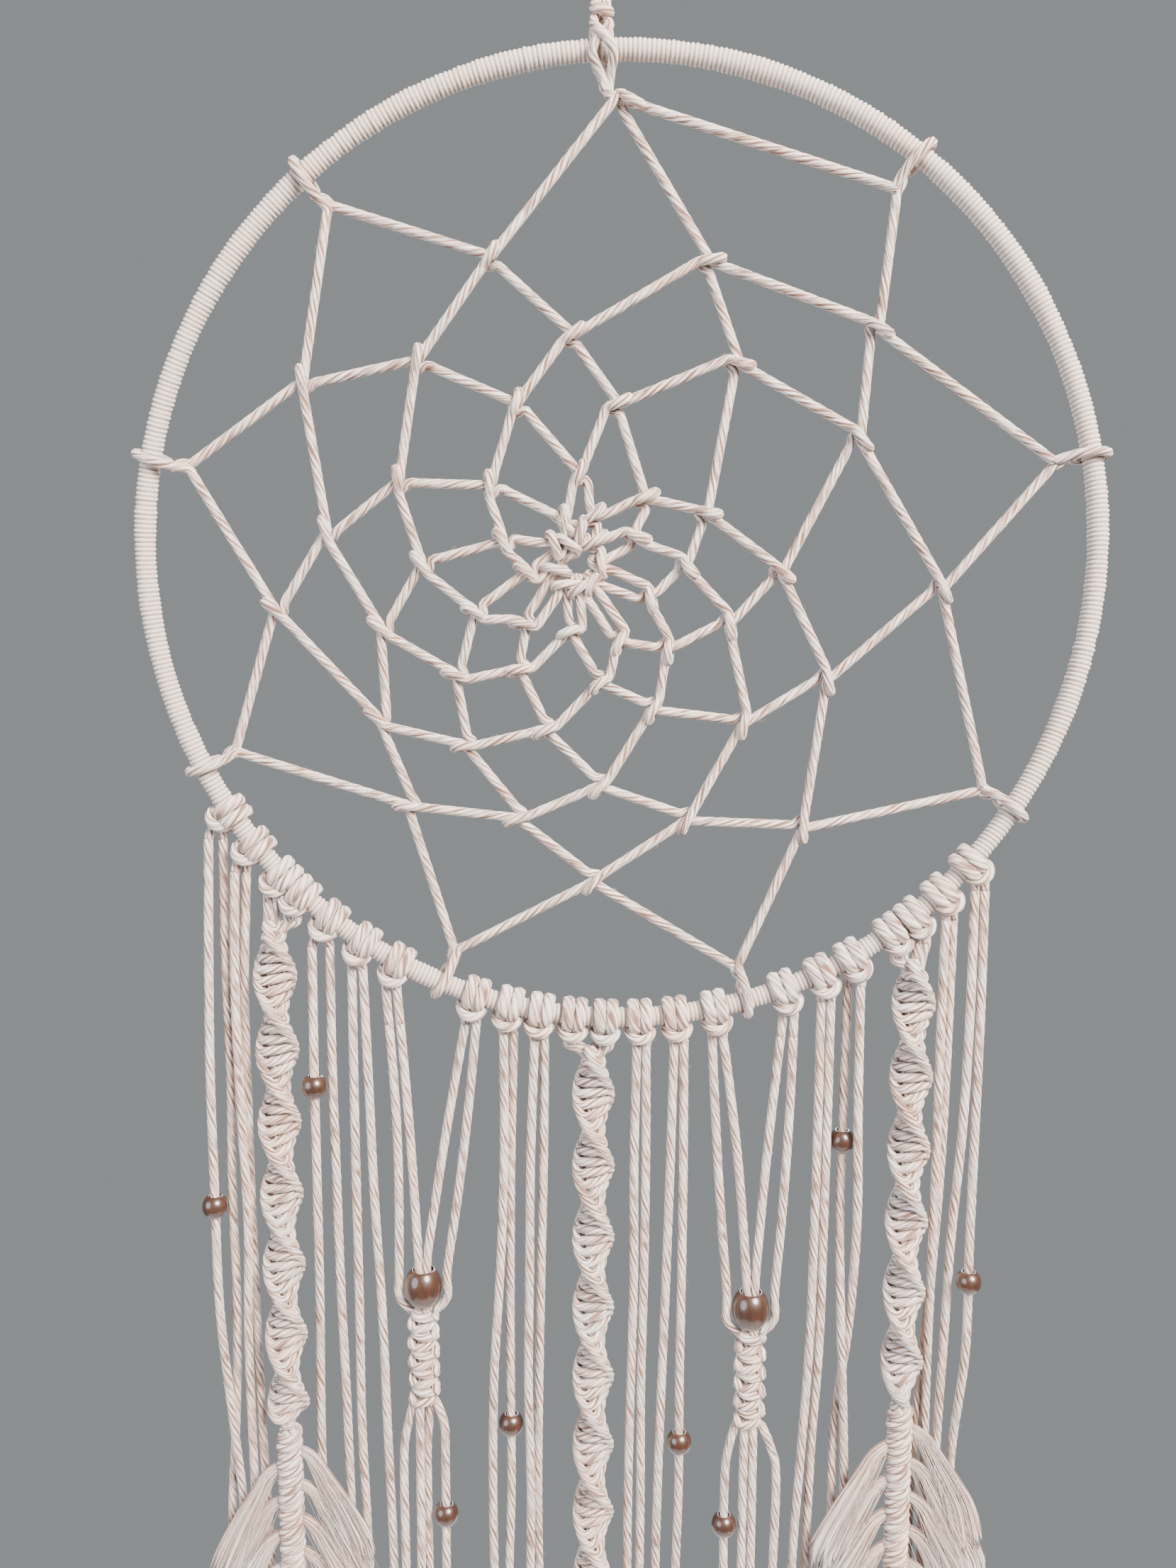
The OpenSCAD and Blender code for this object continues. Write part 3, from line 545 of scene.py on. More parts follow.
# ---- free cords: fringe legs ----
stations = [0, 40, 80, 120, 160, 200, 240, 280, 336]
fringe = {
    "names": "abcdefghijkl",
    "angles": [213, 218, 231, 236, 256, 260, 272.5, 277, 296, 300.3, 314, 319],
    "routes": [
        [[[-3, -4.4, -5.4, -5.4, -5.2, -3.8, -1.4, -0.6, -0.6], [-1.2, -1.2, -1.2, -1.2, -1.2, 3.4, 5.8, 6, 6]],
         [[0.8, 0.2, 0.3, -0.5, -0.5, -3, -6, -6.4, -6.4], [1.6, 1.8, 2.3, 2.3, 3, 6.6, 7.4, 6.6, 6.4]]],
        [[[-2.8, -4, -3.5, -2.5, -4.5, -5.2, -5, -5, -5], [-1.2, -1.2, -1.2, -1, 2, 5, 5.8, 6, 6]],
         [[0.4, -1.9, -2.1, -2.1, -2.1, -1.8, -0.6, -0.4, -0.4], [1, 2.2, 2.4, 2.6, 4.4, 5.8, 6.2, 6.4, 6.4]]],
        [[[-3, -3.4, -3.5, -4.2, -5.6, -6, -6, -6, -6], [-1.2, -1.2, -1.2, 1.5, 5, 5.8, 6, 6, 6]],
         [[2.2, 2, 2.5, 3, 3.6, 3.8, 4, 4, 4], [1.4, 1.4, 1.4, 1.6, 3.6, 5.8, 6.2, 6.4, 6.4]]],
        [[[-1.2, -1.4, -1.4, -1.6, -2.2, -1.5, -0.6, -1, -1], [-0.5, -0.5, -0.5, 1, 3.5, 5.4, 6, 6.2, 6.2]],
         [[2.4, 3.4, 4.5, 6.2, 7, 8, 8.5, 8.5, 8], [-0.5, 0, 0, 0.5, 1, 1.5, 2, 2, 2]]],
        [[[-0.8, -0.9, -2.5, -5, -5.8, -5.6, -5.4, -5.4, -5.4], [-1.5, -1.5, -1.5, -1.5, -1, 0, 3, 5.6, 6]],
         [[2.4, 1.2, 0.6, 0.4, 0.4, -0.8, -1.2, -1.2, -1.2], [1.6, 1.6, 1.6, 1.6, 1.6, 2.4, 4.6, 6, 6.4]]],
        [[[-1.2, -2.7, -3.3, -3.9, -3.3, -3.9, -4.1, -4.1, -4.1], [-1.2, -1.2, -1.2, -1.2, -1, 3, 5.4, 6, 6]],
         [[2, 1.5, 0.5, -0.4, -1, -0.8, -0.4, -0.4, -0.4], [0.6, 2, 2.2, 2.3, 2.5, 4.4, 5.8, 6.2, 6.6]]],
        [[[-1.2, -1.9, -1.8, -2.7, -3.4, -3.5, -3.5, -3.5, -3.5], [-0.5, -0.5, 0, 0, 1.2, 4.6, 5.8, 6, 6]],
         [[1.9, 2, 1.6, 0.8, 0.9, 0.8, 0.8, 0.8, 0.8], [-0.5, 0, 0, 0, 1.2, 4.6, 5.8, 6, 6]]],
        [[[-1, -1.9, -3, -4.3, -5.4, -5.9, -6, -6, -6], [-0.5, -0.5, -0.5, -0.5, -0.3, 3.4, 5.6, 6, 6]],
         [[2.2, 2.4, 2.2, 1.8, 1.8, 1.1, 1, 1, 1], [-0.5, -0.5, -0.5, -0.5, -0.5, 3.4, 5.4, 6, 6]]],
        [[[-1.9, -2, -2.4, -3, -4.9, -6.8, -7.3, -7.3, -7.3], [-0.5, -0.5, -0.5, 0, 1, 2.4, 4, 5.8, 6]],
         [[1.3, 1.1, 0.7, 0.4, -1, -1.6, -2, -2.3, -2.3], [-0.5, -0.5, -0.5, 0.5, 3.4, 5.6, 6, 6, 6]]],
        [[[-2.9, -3.3, -3.5, -2.8, 0.3, 1.4, 1.4, 1.4, 1.4], [2.4, 2.4, 2.4, -0.8, 5.3, 5.8, 6, 6, 6]],
         [[0.3, 0.6, 1.3, 0.4, -2.4, -3, -3, -3, -3], [-2.2, -2.2, -2.2, 2.4, 8.4, 7, 6.4, 6.4, 6.4]]],
        [[[-1.9, -2.2, -2.2, -2, -1.2, -0.6, -0.6, -0.6, -0.6], [-1.4, -1.4, -1.4, 0.5, 4.6, 6, 6, 6, 6]],
         [[1.4, 1.1, 0.4, -0.8, -2.2, -4.8, -5, -5, -5], [1.6, 1.8, 1.8, 3.6, 7.6, 6.8, 6.4, 6.4, 6.4]]],
        [[[-1.8, -1.8, -2.8, -4.6, -5.5, -6, -6, -6, -6], [-0.5, -0.5, -0.5, 1.8, 3, 5.4, 6, 6, 6]],
         [[1.4, 1.6, 1.3, 1, 1, -0.6, -1, -1, -1], [-0.5, -0.5, -0.5, -0.5, -0.5, 5.4, 6, 6, 6]]],
    ],
    # small beads: knot, leg and drop of the bead's centre
    "beads": [(0, 0, 124), (2, 0, 47), (4, 1, 139), (7, 1, 141), (9, 0, 54), (11, 1, 134)],
}
smallBead = {"d": 8.4, "h": 8.4, "hole": 3.6}
largeBead = {"d": 12.5, "h": 14.8, "hole": 6.6}


def beadShape(centre, size):
    # revolved: r = d/2 * cos(a)^0.9, z = h/2 * sin(a), cut flat at 0.46 h, bored, with a round at the hole
    d, h, hole = size["d"], size["h"], size["hole"]
    a = np.linspace(-75, 75, 31) * np.pi / 180
    r = d / 2 * np.cos(a) ** 0.9
    z = h / 2 * np.sin(a)
    keep = (r > hole / 2 + 0.35) & (np.abs(z) < 0.475 * h)
    r, z = r[keep], z[keep]
    top = z[-1]
    r = np.concatenate([[hole / 2, hole / 2 + 0.12], r, [hole / 2 + 0.12, hole / 2, hole / 2]])
    z = np.concatenate([[-top + 0.2, -top], z, [top, top - 0.2, 0.0]])
    around = np.arange(48) / 48 * 2 * np.pi
    points = np.stack(
        [
            r[:, None] * np.cos(around), r[:, None] * np.sin(around),
            np.broadcast_to(z[:, None], (len(r), 48))
        ], -1
    ).reshape(-1, 3) + centre
    i = np.arange(len(r))[:, None] * 48
    i1 = ((np.arange(len(r)) + 1) % len(r))[:, None] * 48
    k = np.arange(48)[None, :]
    k1 = (k + 1) % 48
    quads = np.stack([i + k, i + k1, i1 + k1, i1 + k], axis=-1).reshape(-1, 4)
    return newShape(points, [quads], [np.zeros((len(quads), 4, 2))], np.zeros(len(points)))


legStarts = {}
for i, name in enumerate(fringe["names"]):
    foot = footAt(fringe["angles"][i])
    starts = []
    for side in (0, 1):
        xs, ys = fringe["routes"][i][side]
        path = smoothPath(route(foot, stations, xs, ys), 1.25)
        for knot, leg, drop in fringe["beads"]:
            if (knot, leg) == (i, side):
                centre = atHeight(path, foot[2] - drop)
                makePiece(
                    f"smallBead_{name}", [beadShape(centre, smallBead)], beadWood,
                    f"small_bead_{name}", [f"small_bead_{name}"],
                )
        seed = 40 + 2 * i + side
        leg = makePiece(
            f"fringeLeg_{name}_{side}",
            [
                cordShape(path, phase=seed * 1.7), fuzz(path, twist["radius"], seed),
                frayedEnd(path, twist["radius"], seed)
            ],
            cottonCord, f"fringe_{name}", [f"fringe_cord_{name}"],
        )
        starts.append(path[0])
    legStarts[name] = starts
print("fringe legs made")


# ---- pendants: four cords, a large bead, a square sinnet and four tails ----
pendant = {
    "names": ["left", "right"],
    "angles": [[241, 251.5], [282, 291]],
    "x": [-0.443, 0.298],
    "drop": [99, 107],
    "bow": [[1.5, 0.5, -0.5, 0.8], [-0.5, 1, -0.5, 0.8]],
    "legStep": 1.8,
    "beadSeat": 1.4,
    "around": 0.4,
    "fit": 0.1,
    "sinnetW": 10.8,
    "sinnetT": 6.2,
    "squareH": 6.7,
    "squares": 5,
    "tailStations": [0, 8, 20, 60, 100, 140, 196],
    "tails": [
        [[[-4, -6, -7.6, -7.6, -7.4, -7, -6.8], [0, 0, 0, 0, 0, 0, 0]],
         [[-1.6, -1.7, -1.8, -2, -2.4, -2.6, -2.6], [-1.6, -1.6, -1.6, -1.6, -1.6, -1.6, -1.6]],
         [[1.6, 1, 0.2, 0.2, 0.4, 0.8, 0.8], [1.6, 1.6, 1.6, 1.6, 1.6, 1.6, 1.6]],
         [[4, 6.4, 6.6, 6.4, 5.6, 5, 4.8], [0, 0, 0, 0, 0, 0, 0]]],
        [[[-4.4, -6.6, -7.9, -7.9, -7.6, -7.2, -7], [0, 0, 0, 0, 0, 0, 0]],
         [[-1.5, -1.5, -1.6, -1.8, -2, -2.2, -2.2], [0, 0, 0, 0, 0, 0, 0]],
         [[1.5, 1.6, 1.6, 1.4, 1.2, 1, 1], [0, 0, 0, 0, 0, 0, 0]],
         [[4.4, 7.6, 9.8, 9, 8, 7.4, 7], [0, 0, 0, 0, 0, 0, 0]]],
    ],
    # small beads on the tails: pendant, cord and drop
    "beads": [(0, 3, 41), (1, 0, 37)],
}


def pairZ(pair):
    return min(footAt(a)[2] for a in pair) + knotSet["gap"]


def sinnetTop(j):
    return np.array([
        hoopCentre[0] + hoop["radius"] * pendant["x"][j], 0.0,
        hoopCentre[2] + hoop["bottom"] - pendant["drop"][j]
    ])


def sinnetBottom(j):
    return sinnetTop(j) - np.array([0, 0, pendant["squares"] * pendant["squareH"]])


def largeBeadCentre(j):
    return sinnetTop(j) + np.array([0, 0, pendant["beadSeat"] + largeBead["h"] / 2])


def isInner(k):
    return k in (1, 2)


def sideOf(k):
    return -1 if k < 2 else 1


def reachOf(k):
    if isInner(k):
        return sideOf(k) * (knotSet["cordD"] / 2 + pendant["fit"])
    return sideOf(k) * (largeBead["d"] / 2 + knotSet["cordD"] / 2 + pendant["around"])


def knotExit(j, k):
    return footAt(pendant["angles"][j][k // 2]) + np.array(
        [(-1 if k % 2 == 0 else 1) * pendant["legStep"], 0, 0]
    )


def beadEntry(j, k):
    rise = largeBead["h"] / 2 + (3 if isInner(k) else -2)
    return largeBeadCentre(j) + np.array([reachOf(k), 0, rise])


def hangPoint(j, k, t):
    point = knotExit(j, k) * (1 - t) + beadEntry(j, k) * t
    return point + np.array([pendant["bow"][j][k] * math.sin(math.pi * t), 0, 0])


def shareAt(j, k, z):
    top, low = knotExit(j, k)[2], beadEntry(j, k)[2]
    return max(0.0, (top - z) / (top - low))


def sinnetShapes(j, seed):
    # square knots: the front cord zigzags over the two fillers, y = -3, and the other cord passes behind
    # and comes round its turns at the sides as upright loops
    top = sinnetTop(j)
    count = pendant["squares"]
    h = pendant["squareH"]
    halfW = pendant["sinnetW"] / 2 - twist["radius"]
    front, back = [], []
    for n in range(count):
        z = -n * h
        front += [
            (-halfW + 0.6, 0.4, z - 0.2), (-halfW + 1.6, -1.9, z - 0.9), (0, -2.6, z - 1.5),
            (halfW - 1.6, -2.0, z - 1.7),
            (halfW - 0.5, 0.2, z - 2.6), (halfW - 0.9, 0.8, z - 3.7), (halfW - 1.6, -1.8, z - 4.2),
            (0, -2.7, z - 5.0),
            (-halfW + 1.6, -1.9, z - 5.9), (-halfW + 0.6, 0.3, z - 6.4),
        ]
        back += [
            (halfW - 0.2, -1.9, z - 0.2), (halfW + 0.1, -1.3, z - 1.6), (halfW - 1.4, 1.9, z - 2.3),
            (0, 2.4, z - 2.6),
            (-halfW + 1.4, 1.9, z - 2.8), (-halfW - 0.1, -1.0, z - 3.4), (-halfW, -1.9, z - 4.6),
            (-halfW - 0.1, 0.2, z - 5.4),
            (-halfW + 1.6, 2.0, z - 5.9), (0, 2.4, z - 6.1), (halfW - 1.4, 1.8, z - 6.3),
            (halfW, -0.6, z - 6.5),
        ]
    shapes = []
    for n, pts in enumerate((front, back)):
        path = smoothPath(np.array(pts) + top, 0.9)
        shapes.append(cordShape(path, phase=seed + n, sides=20))
        shapes.append(fuzz(path, twist["radius"], 300 + 10 * j + n, perMm=0.25))
    for s in (-1, 1):
        core = np.array(
            [
                top + [s * 1.3, 0, 1.0], top + [s * 1.3, 0, -count * h / 2],
                sinnetBottom(j) + [s * 1.3, 0, -0.6]
            ]
        )
        shapes.append(cordShape(smoothPath(core, 1.2), phase=s, sides=15))
    return shapes


for j, name in enumerate(pendant["names"]):
    bead = makePiece(
        f"largeBead_{name}", [beadShape(largeBeadCentre(j), largeBead)], beadWood,
        f"pendant_{name}", [f"large_bead_{name}"],
    )
    sinnet = makePiece(
        f"squareSinnet_{name}", sinnetShapes(j, 2.0 * j), cottonCord,
        f"pendant_{name}", [f"square_sinnet_{name}"],
    )
    pivotZ = pairZ(pendant["angles"][j])
    for k in range(4):
        t0 = shareAt(j, k, pivotZ - knotSet["gap"])
        points = [hangPoint(j, k, t0 + (1 - t0) * i / 4) for i in range(5)]
        centre = largeBeadCentre(j)
        points.append(centre + np.array([reachOf(k), 0, 0 if isInner(k) else -largeBead["h"] / 4]))
        across = reachOf(k) if isInner(k) else sideOf(k) * (pendant["sinnetW"] - knotSet["cordD"]) / 2
        points.append(sinnetTop(j) + np.array([across, 0, 0]))
        path = smoothPath(points, 1.25)
        seed = 80 + 4 * j + k
        cord = makePiece(
            f"pendantCord_{name}_{k}",
            [cordShape(path, phase=seed * 1.3), fuzz(path, twist["radius"], seed)],
            cottonCord, f"pendant_{name}", [f"pendant_cords_{name}"],
        )
        xs, ys = pendant["tails"][j][k]
        tailPath = smoothPath(route(sinnetBottom(j), pendant["tailStations"], xs, ys), 1.25)
        for which, leg, drop in pendant["beads"]:
            if (which, leg) == (j, k):
                centre = atHeight(tailPath, sinnetBottom(j)[2] - drop)
                makePiece(
                    f"smallBead_{name}", [beadShape(centre, smallBead)], beadWood,
                    f"small_bead_{name}", [f"small_bead_{name}"],
                )
        tail = makePiece(
            f"pendantTail_{name}_{k}",
            [cordShape(tailPath, phase=seed * 0.7), fuzz(tailPath, twist["radius"], seed + 50),
             frayedEnd(tailPath, twist["radius"], seed + 50)],
            cottonCord, f"pendant_{name}", [f"pendant_tails_{name}"],
        )
print("pendants made")


# ---- hoop: string wound over the ring ----
wound = {"threads": 660, "ridge": 0.42, "sides": 14, "ringsPerThread": 4}


def woundRing():
    # torus whose tube has a round crest for every thread: r = tube - ridge * |sin| share, unevenly
    rng = np.random.default_rng(5)
    rings = wound["threads"] * wound["ringsPerThread"]
    sides = wound["sides"]
    phase = np.arange(rings) / wound["ringsPerThread"]
    thread = np.floor(phase).astype(int)
    within = phase - thread
    lift = rng.normal(0, 0.07, wound["threads"] + 1)
    slow = 0.12 * np.sin(thread * 0.173) * np.sin(thread * 0.071 + 1)
    dent = np.abs(within - 0.5) * 2
    dent = dent**1.6
    tube = hoop["tube"] - 0.12 + lift[thread] + slow - wound["ridge"] * dent
    a = np.arange(rings) / rings * 2 * np.pi
    b = np.arange(sides) / sides * 2 * np.pi
    # each thread leans a little, so its crest runs slightly askew round the tube
    lean = 0.0016 * np.sin(b)[None, :] * (1 + 0.5 * np.sin(a * 7)[:, None])
    aa = a[:, None] + lean
    big = hoop["radius"] + tube[:, None] * np.cos(b)[None, :]
    points = np.stack(
        [big * np.cos(aa), -tube[:, None] * np.sin(b)[None, :] * np.ones_like(aa), big * np.sin(aa)], -1
    )
    points = points.reshape(-1, 3) + hoopCentre
    i = np.arange(rings)[:, None] * sides
    i1 = ((np.arange(rings) + 1) % rings)[:, None] * sides
    k = np.arange(sides)[None, :]
    k1 = (k + 1) % sides
    quads = np.stack([i + k, i1 + k, i1 + k1, i + k1], axis=-1).reshape(-1, 4)
    u = a * hoop["radius"]
    u0 = np.broadcast_to(u[:, None], (rings, sides))
    u1 = u0 + u[1]
    v0 = np.broadcast_to(k / sides, (rings, sides))
    v1 = v0 + 1 / sides
    uvs = np.stack(
        [np.stack([u0, v0], -1), np.stack([u1, v0], -1), np.stack([u1, v1], -1), np.stack([u0, v1], -1)], 2
    )
    # the dents between threads become painted shade in the string material
    crease = np.repeat(dent, sides)
    return newShape(points, [quads], [uvs.reshape(-1, 4, 2)], crease)


makePiece("hoopWrap", [woundRing()], hoopString, "hoop", ["hoop_wrap"])


# ---- lark's head knots ----
def knotShapes(a, ends, seed):
    # one cord: up behind the bar, over the front of the ring, round its back, forward under it and across
    # the front as the bar, then the same way back on the other side
    e = math.radians(a)
    outward = np.array([math.cos(e), 0, math.sin(e)])
    tangent = np.array([-math.sin(e), 0, math.cos(e)])
    depth = np.array([0.0, 1.0, 0.0])
    rim = rimAt(a)
    bar = barAt(a)
    tilt = barTilt(a)
    barWay = np.array([math.cos(tilt), 0, math.sin(tilt)])
    up = np.array([-math.sin(tilt), 0, math.cos(tilt)])

    def at(t, o, y):
        return rim + tangent * t + outward * o + depth * y

    def half(s, end):
        return [
            end,
            bar + barWay * s * 1.5 + depth * 3.0 + up * 0.2,
            at(s * 1.6, 4.5, -1.5),
            at(s * 1.9, 1.9, -4.4),
            at(s * 2.0, -1.6, -4.6),
            at(s * 2.05, -4.4, -1.9),
            at(s * 2.1, -4.5, 1.7),
            at(s * 2.3, -1.8, 4.5),
            at(s * 2.8, 1.8, 4.5),
            at(s * 3.2, 4.6, 2.0),
            bar + barWay * s * 3.3 + depth * 1.2 + up * 2.2,
            bar + barWay * s * 2.9 - depth * 0.6 + up * 1.1,
            bar + barWay * s * 1.6 - depth * 1.1 + up * 0.3,
        ]

    points = half(-1, ends[0]) + [bar - depth * 1.2 + up * 0.05] + half(1, ends[1])[::-1]
    path = smoothPath(points, 1.0)
    inPlane = path - rim
    along = inPlane @ tangent
    radial = unit(inPlane - along[:, None] * tangent)
    # only the wraps are pressed flat; the bar stays round and full
    barShare = np.abs(unit(np.gradient(path, axis=0)) @ barWay)[:, None] ** 2
    radial = radial * (1 - barShare)
    shapes = [
        cordShape(
            path, radius=1.5 + 0.25 * barShare[:, 0], squeeze=radial, flat=(0.84, 1.36), phase=seed,
            sides=20
        )
    ]
    shapes.append(fuzz(path, twist["radius"], 500 + seed, perMm=0.2, reach=1.2))
    return shapes


for i, name in enumerate(fringe["names"]):
    makePiece(
        f"fringeKnot_{name}", knotShapes(fringe["angles"][i], legStarts[name], i), cottonCord,
        "hoop", [f"fringe_knot_{name}"],
    )
for j, name in enumerate(pendant["names"]):
    shapes = []
    pivotZ = pairZ(pendant["angles"][j])
    for n, a in enumerate(pendant["angles"][j]):
        ends = [knotExit(j, 2 * n), knotExit(j, 2 * n + 1)]
        shapes += knotShapes(a, ends, 20 + 2 * j + n)
        for m in (0, 1):
            k = 2 * n + m
            t1 = shareAt(j, k, pivotZ + knotSet["gap"])
            if t1 > 0:
                low = hangPoint(j, k, t1)
                stub = [
                    knotExit(j, k) + np.array([0, 0, 1.0]), hangPoint(j, k, t1 / 2), low, low - [0, 0, 1.3]
                ]
                shapes.append(cordShape(smoothPath(stub, 1.2), radius=1.48, phase=k))
    makePiece(f"pendantKnots_{name}", shapes, cottonCord, "hoop", [f"pendant_knots_{name}"])
print("knots made")


# ---- spirals ----
spiral = {
    "names": ["left", "middle", "right"],
    "angles": [[223, 226.3], [264.2, 268.2], [306.2, 309.5]],
    "shift": [-3, 1.5, 1.5],
    "a": 5.9,
    "b": 2.5,
    "knot": 3.4,
    "turn": 50.0,
    "start": [60, 60, 60],
}
feather = {
    "drops": [140, 213, 132],
    "lengths": [178, 160, 178],
    "width": 62.0,
    "thick": 7.0,
    "start": 7.0,
    "spineD": 9.6,
    "spineShare": 0.84,
    "tie": 12.5,
    "wrap": 3.15,
}


def spiralPivot(i):
    pair = spiral["angles"][i]
    return np.array([sum(footAt(a)[0] for a in pair) / 2 + spiral["shift"][i], 0.0, pairZ(pair)])


def featherPivot(i):
    return np.array([spiralPivot(i)[0], 0.0, hoopCentre[2] + hoop["bottom"] - feather["drops"][i]])


def spiralShapes(i):
    # half knots: two cords wind round the fillers as x = -a cos(f), y = -b sin(f). Each falls outside the
    # edge in a J, by 4.7 mm, and rises 1.3 mm towards the right as it crosses, so the drop is
    # knot * f / pi + 1.5 sin(2f), while the flat section turns once every 50 mm
    top = spiralPivot(i) - np.array([0, 0, knotSet["gap"]])
    height = top[2] - featherPivot(i)[2] - 0.6
    shapes = []
    for n in (0, 1):
        down = np.linspace(0, height, int(height * 9))
        f = 2 * np.pi * down / (2 * spiral["knot"]) + n * np.pi
        z = down + 1.5 * np.sin(2 * f)
        squash = np.clip(np.minimum(down, height - down) / 5, 0.35, 1)
        a = spiral["a"] * squash
        b = spiral["b"] * np.clip(squash, 0.7, 1)
        x = -a * np.sign(np.cos(f)) * np.abs(np.cos(f)) ** 0.62
        y = -b * np.sign(np.sin(f)) * np.abs(np.sin(f)) ** 0.8
        turn = 2 * np.pi * down / spiral["turn"] + math.radians(spiral["start"][i])
        path = np.stack(
            [
                x * np.cos(turn) - y * np.sin(turn), x * np.sin(turn) + y * np.cos(turn),
                -np.clip(z, 0, height)
            ],
            1
        )
        path = evenPath(path, 1.05)
        fat = np.interp(np.hypot(path[:, 0], path[:, 1]), [spiral["b"], spiral["a"]], [1.62, 1.28])
        path = path + top
        shapes.append(cordShape(path, radius=fat, phase=n, sides=15))
        shapes.append(fuzz(path, 1.36, 700 + 2 * i + n, perMm=0.14, reach=1.5))
        core = np.stack([
            1.35 * np.cos(turn + n * np.pi), 1.35 * np.sin(turn + n * np.pi), -down * np.ones_like(turn)
        ], 1)
        shapes.append(cordShape(evenPath(core + top, 1.6), phase=n, sides=15))
    return shapes


def spiralKnotShapes(i):
    shapes = []
    pivot = spiralPivot(i)
    for n, a in enumerate(spiral["angles"][i]):
        foot = footAt(a)
        ends = [foot + np.array([-1.5, 0.2, 0]), foot + np.array([1.5, 0.2, 0])]
        shapes += knotShapes(a, ends, 30 + 2 * i + n)
        for m, end in enumerate(ends):
            spot = pivot + np.array([(2 * n + m - 1.5) * 1.1, 0.3 if n else -0.3, 0])
            spot[2] = min(pivot[2], end[2]) - 4.0
            bend = (end + spot) / 2 + [0, 0, 0.4]
            shapes.append(
                cordShape(smoothPath([end + [0, 0, 1.4], end - [0, 0, 0.2], bend, spot], 0.8), phase=m)
            )
    return shapes


# half width of a feather at a share of its length, as in the part
def leaf(s):
    s = np.clip(s, 0, 1)
    return feather["width"] / 2 * np.sin(np.pi * s**0.8) ** 0.85


def spineShapes(i):
    # wraps of a flattened cord round the fillers, every fourth a little larger where a tail leaves
    top = featherPivot(i) - np.array([0, 0, knotSet["gap"]])
    length = feather["lengths"][i] * feather["spineShare"]
    down = np.linspace(0, length, int(length * 8))
    f = 2 * np.pi * down / feather["wrap"]
    swell = 0.35 * np.sin(2 * np.pi * down / feather["tie"] * 2)
    r = (feather["spineD"] / 2 - 1.55 + swell * 0.5) * np.clip(down / 2.5, 0.25, 1)
    tilt = 0.1 * np.cos(f) + 0.35 * np.cos(2 * np.pi * down / feather["tie"]) * np.cos(f)
    path = np.stack([r * np.cos(f), -0.82 * r * np.sin(f), -down + tilt], 1)
    path[:, 2] = np.minimum(path[:, 2], 0)
    path = evenPath(path + top, 1.15)
    outward = unit((path - top) * np.array([1, 1, 0]))
    shapes = [cordShape(path, squeeze=outward, flat=(0.85, 1.1), sides=15, dip=0.05)]
    core = np.array([top + [0, 0, -0.5], top - [0, 0, length / 2], top - [0, 0, length]])
    shapes.append(cordShape(smoothPath(core, 3), radius=2.4, sides=15))
    shapes.append(fuzz(path, twist["radius"], 800 + i, perMm=0.15, reach=1.0))
    return shapes


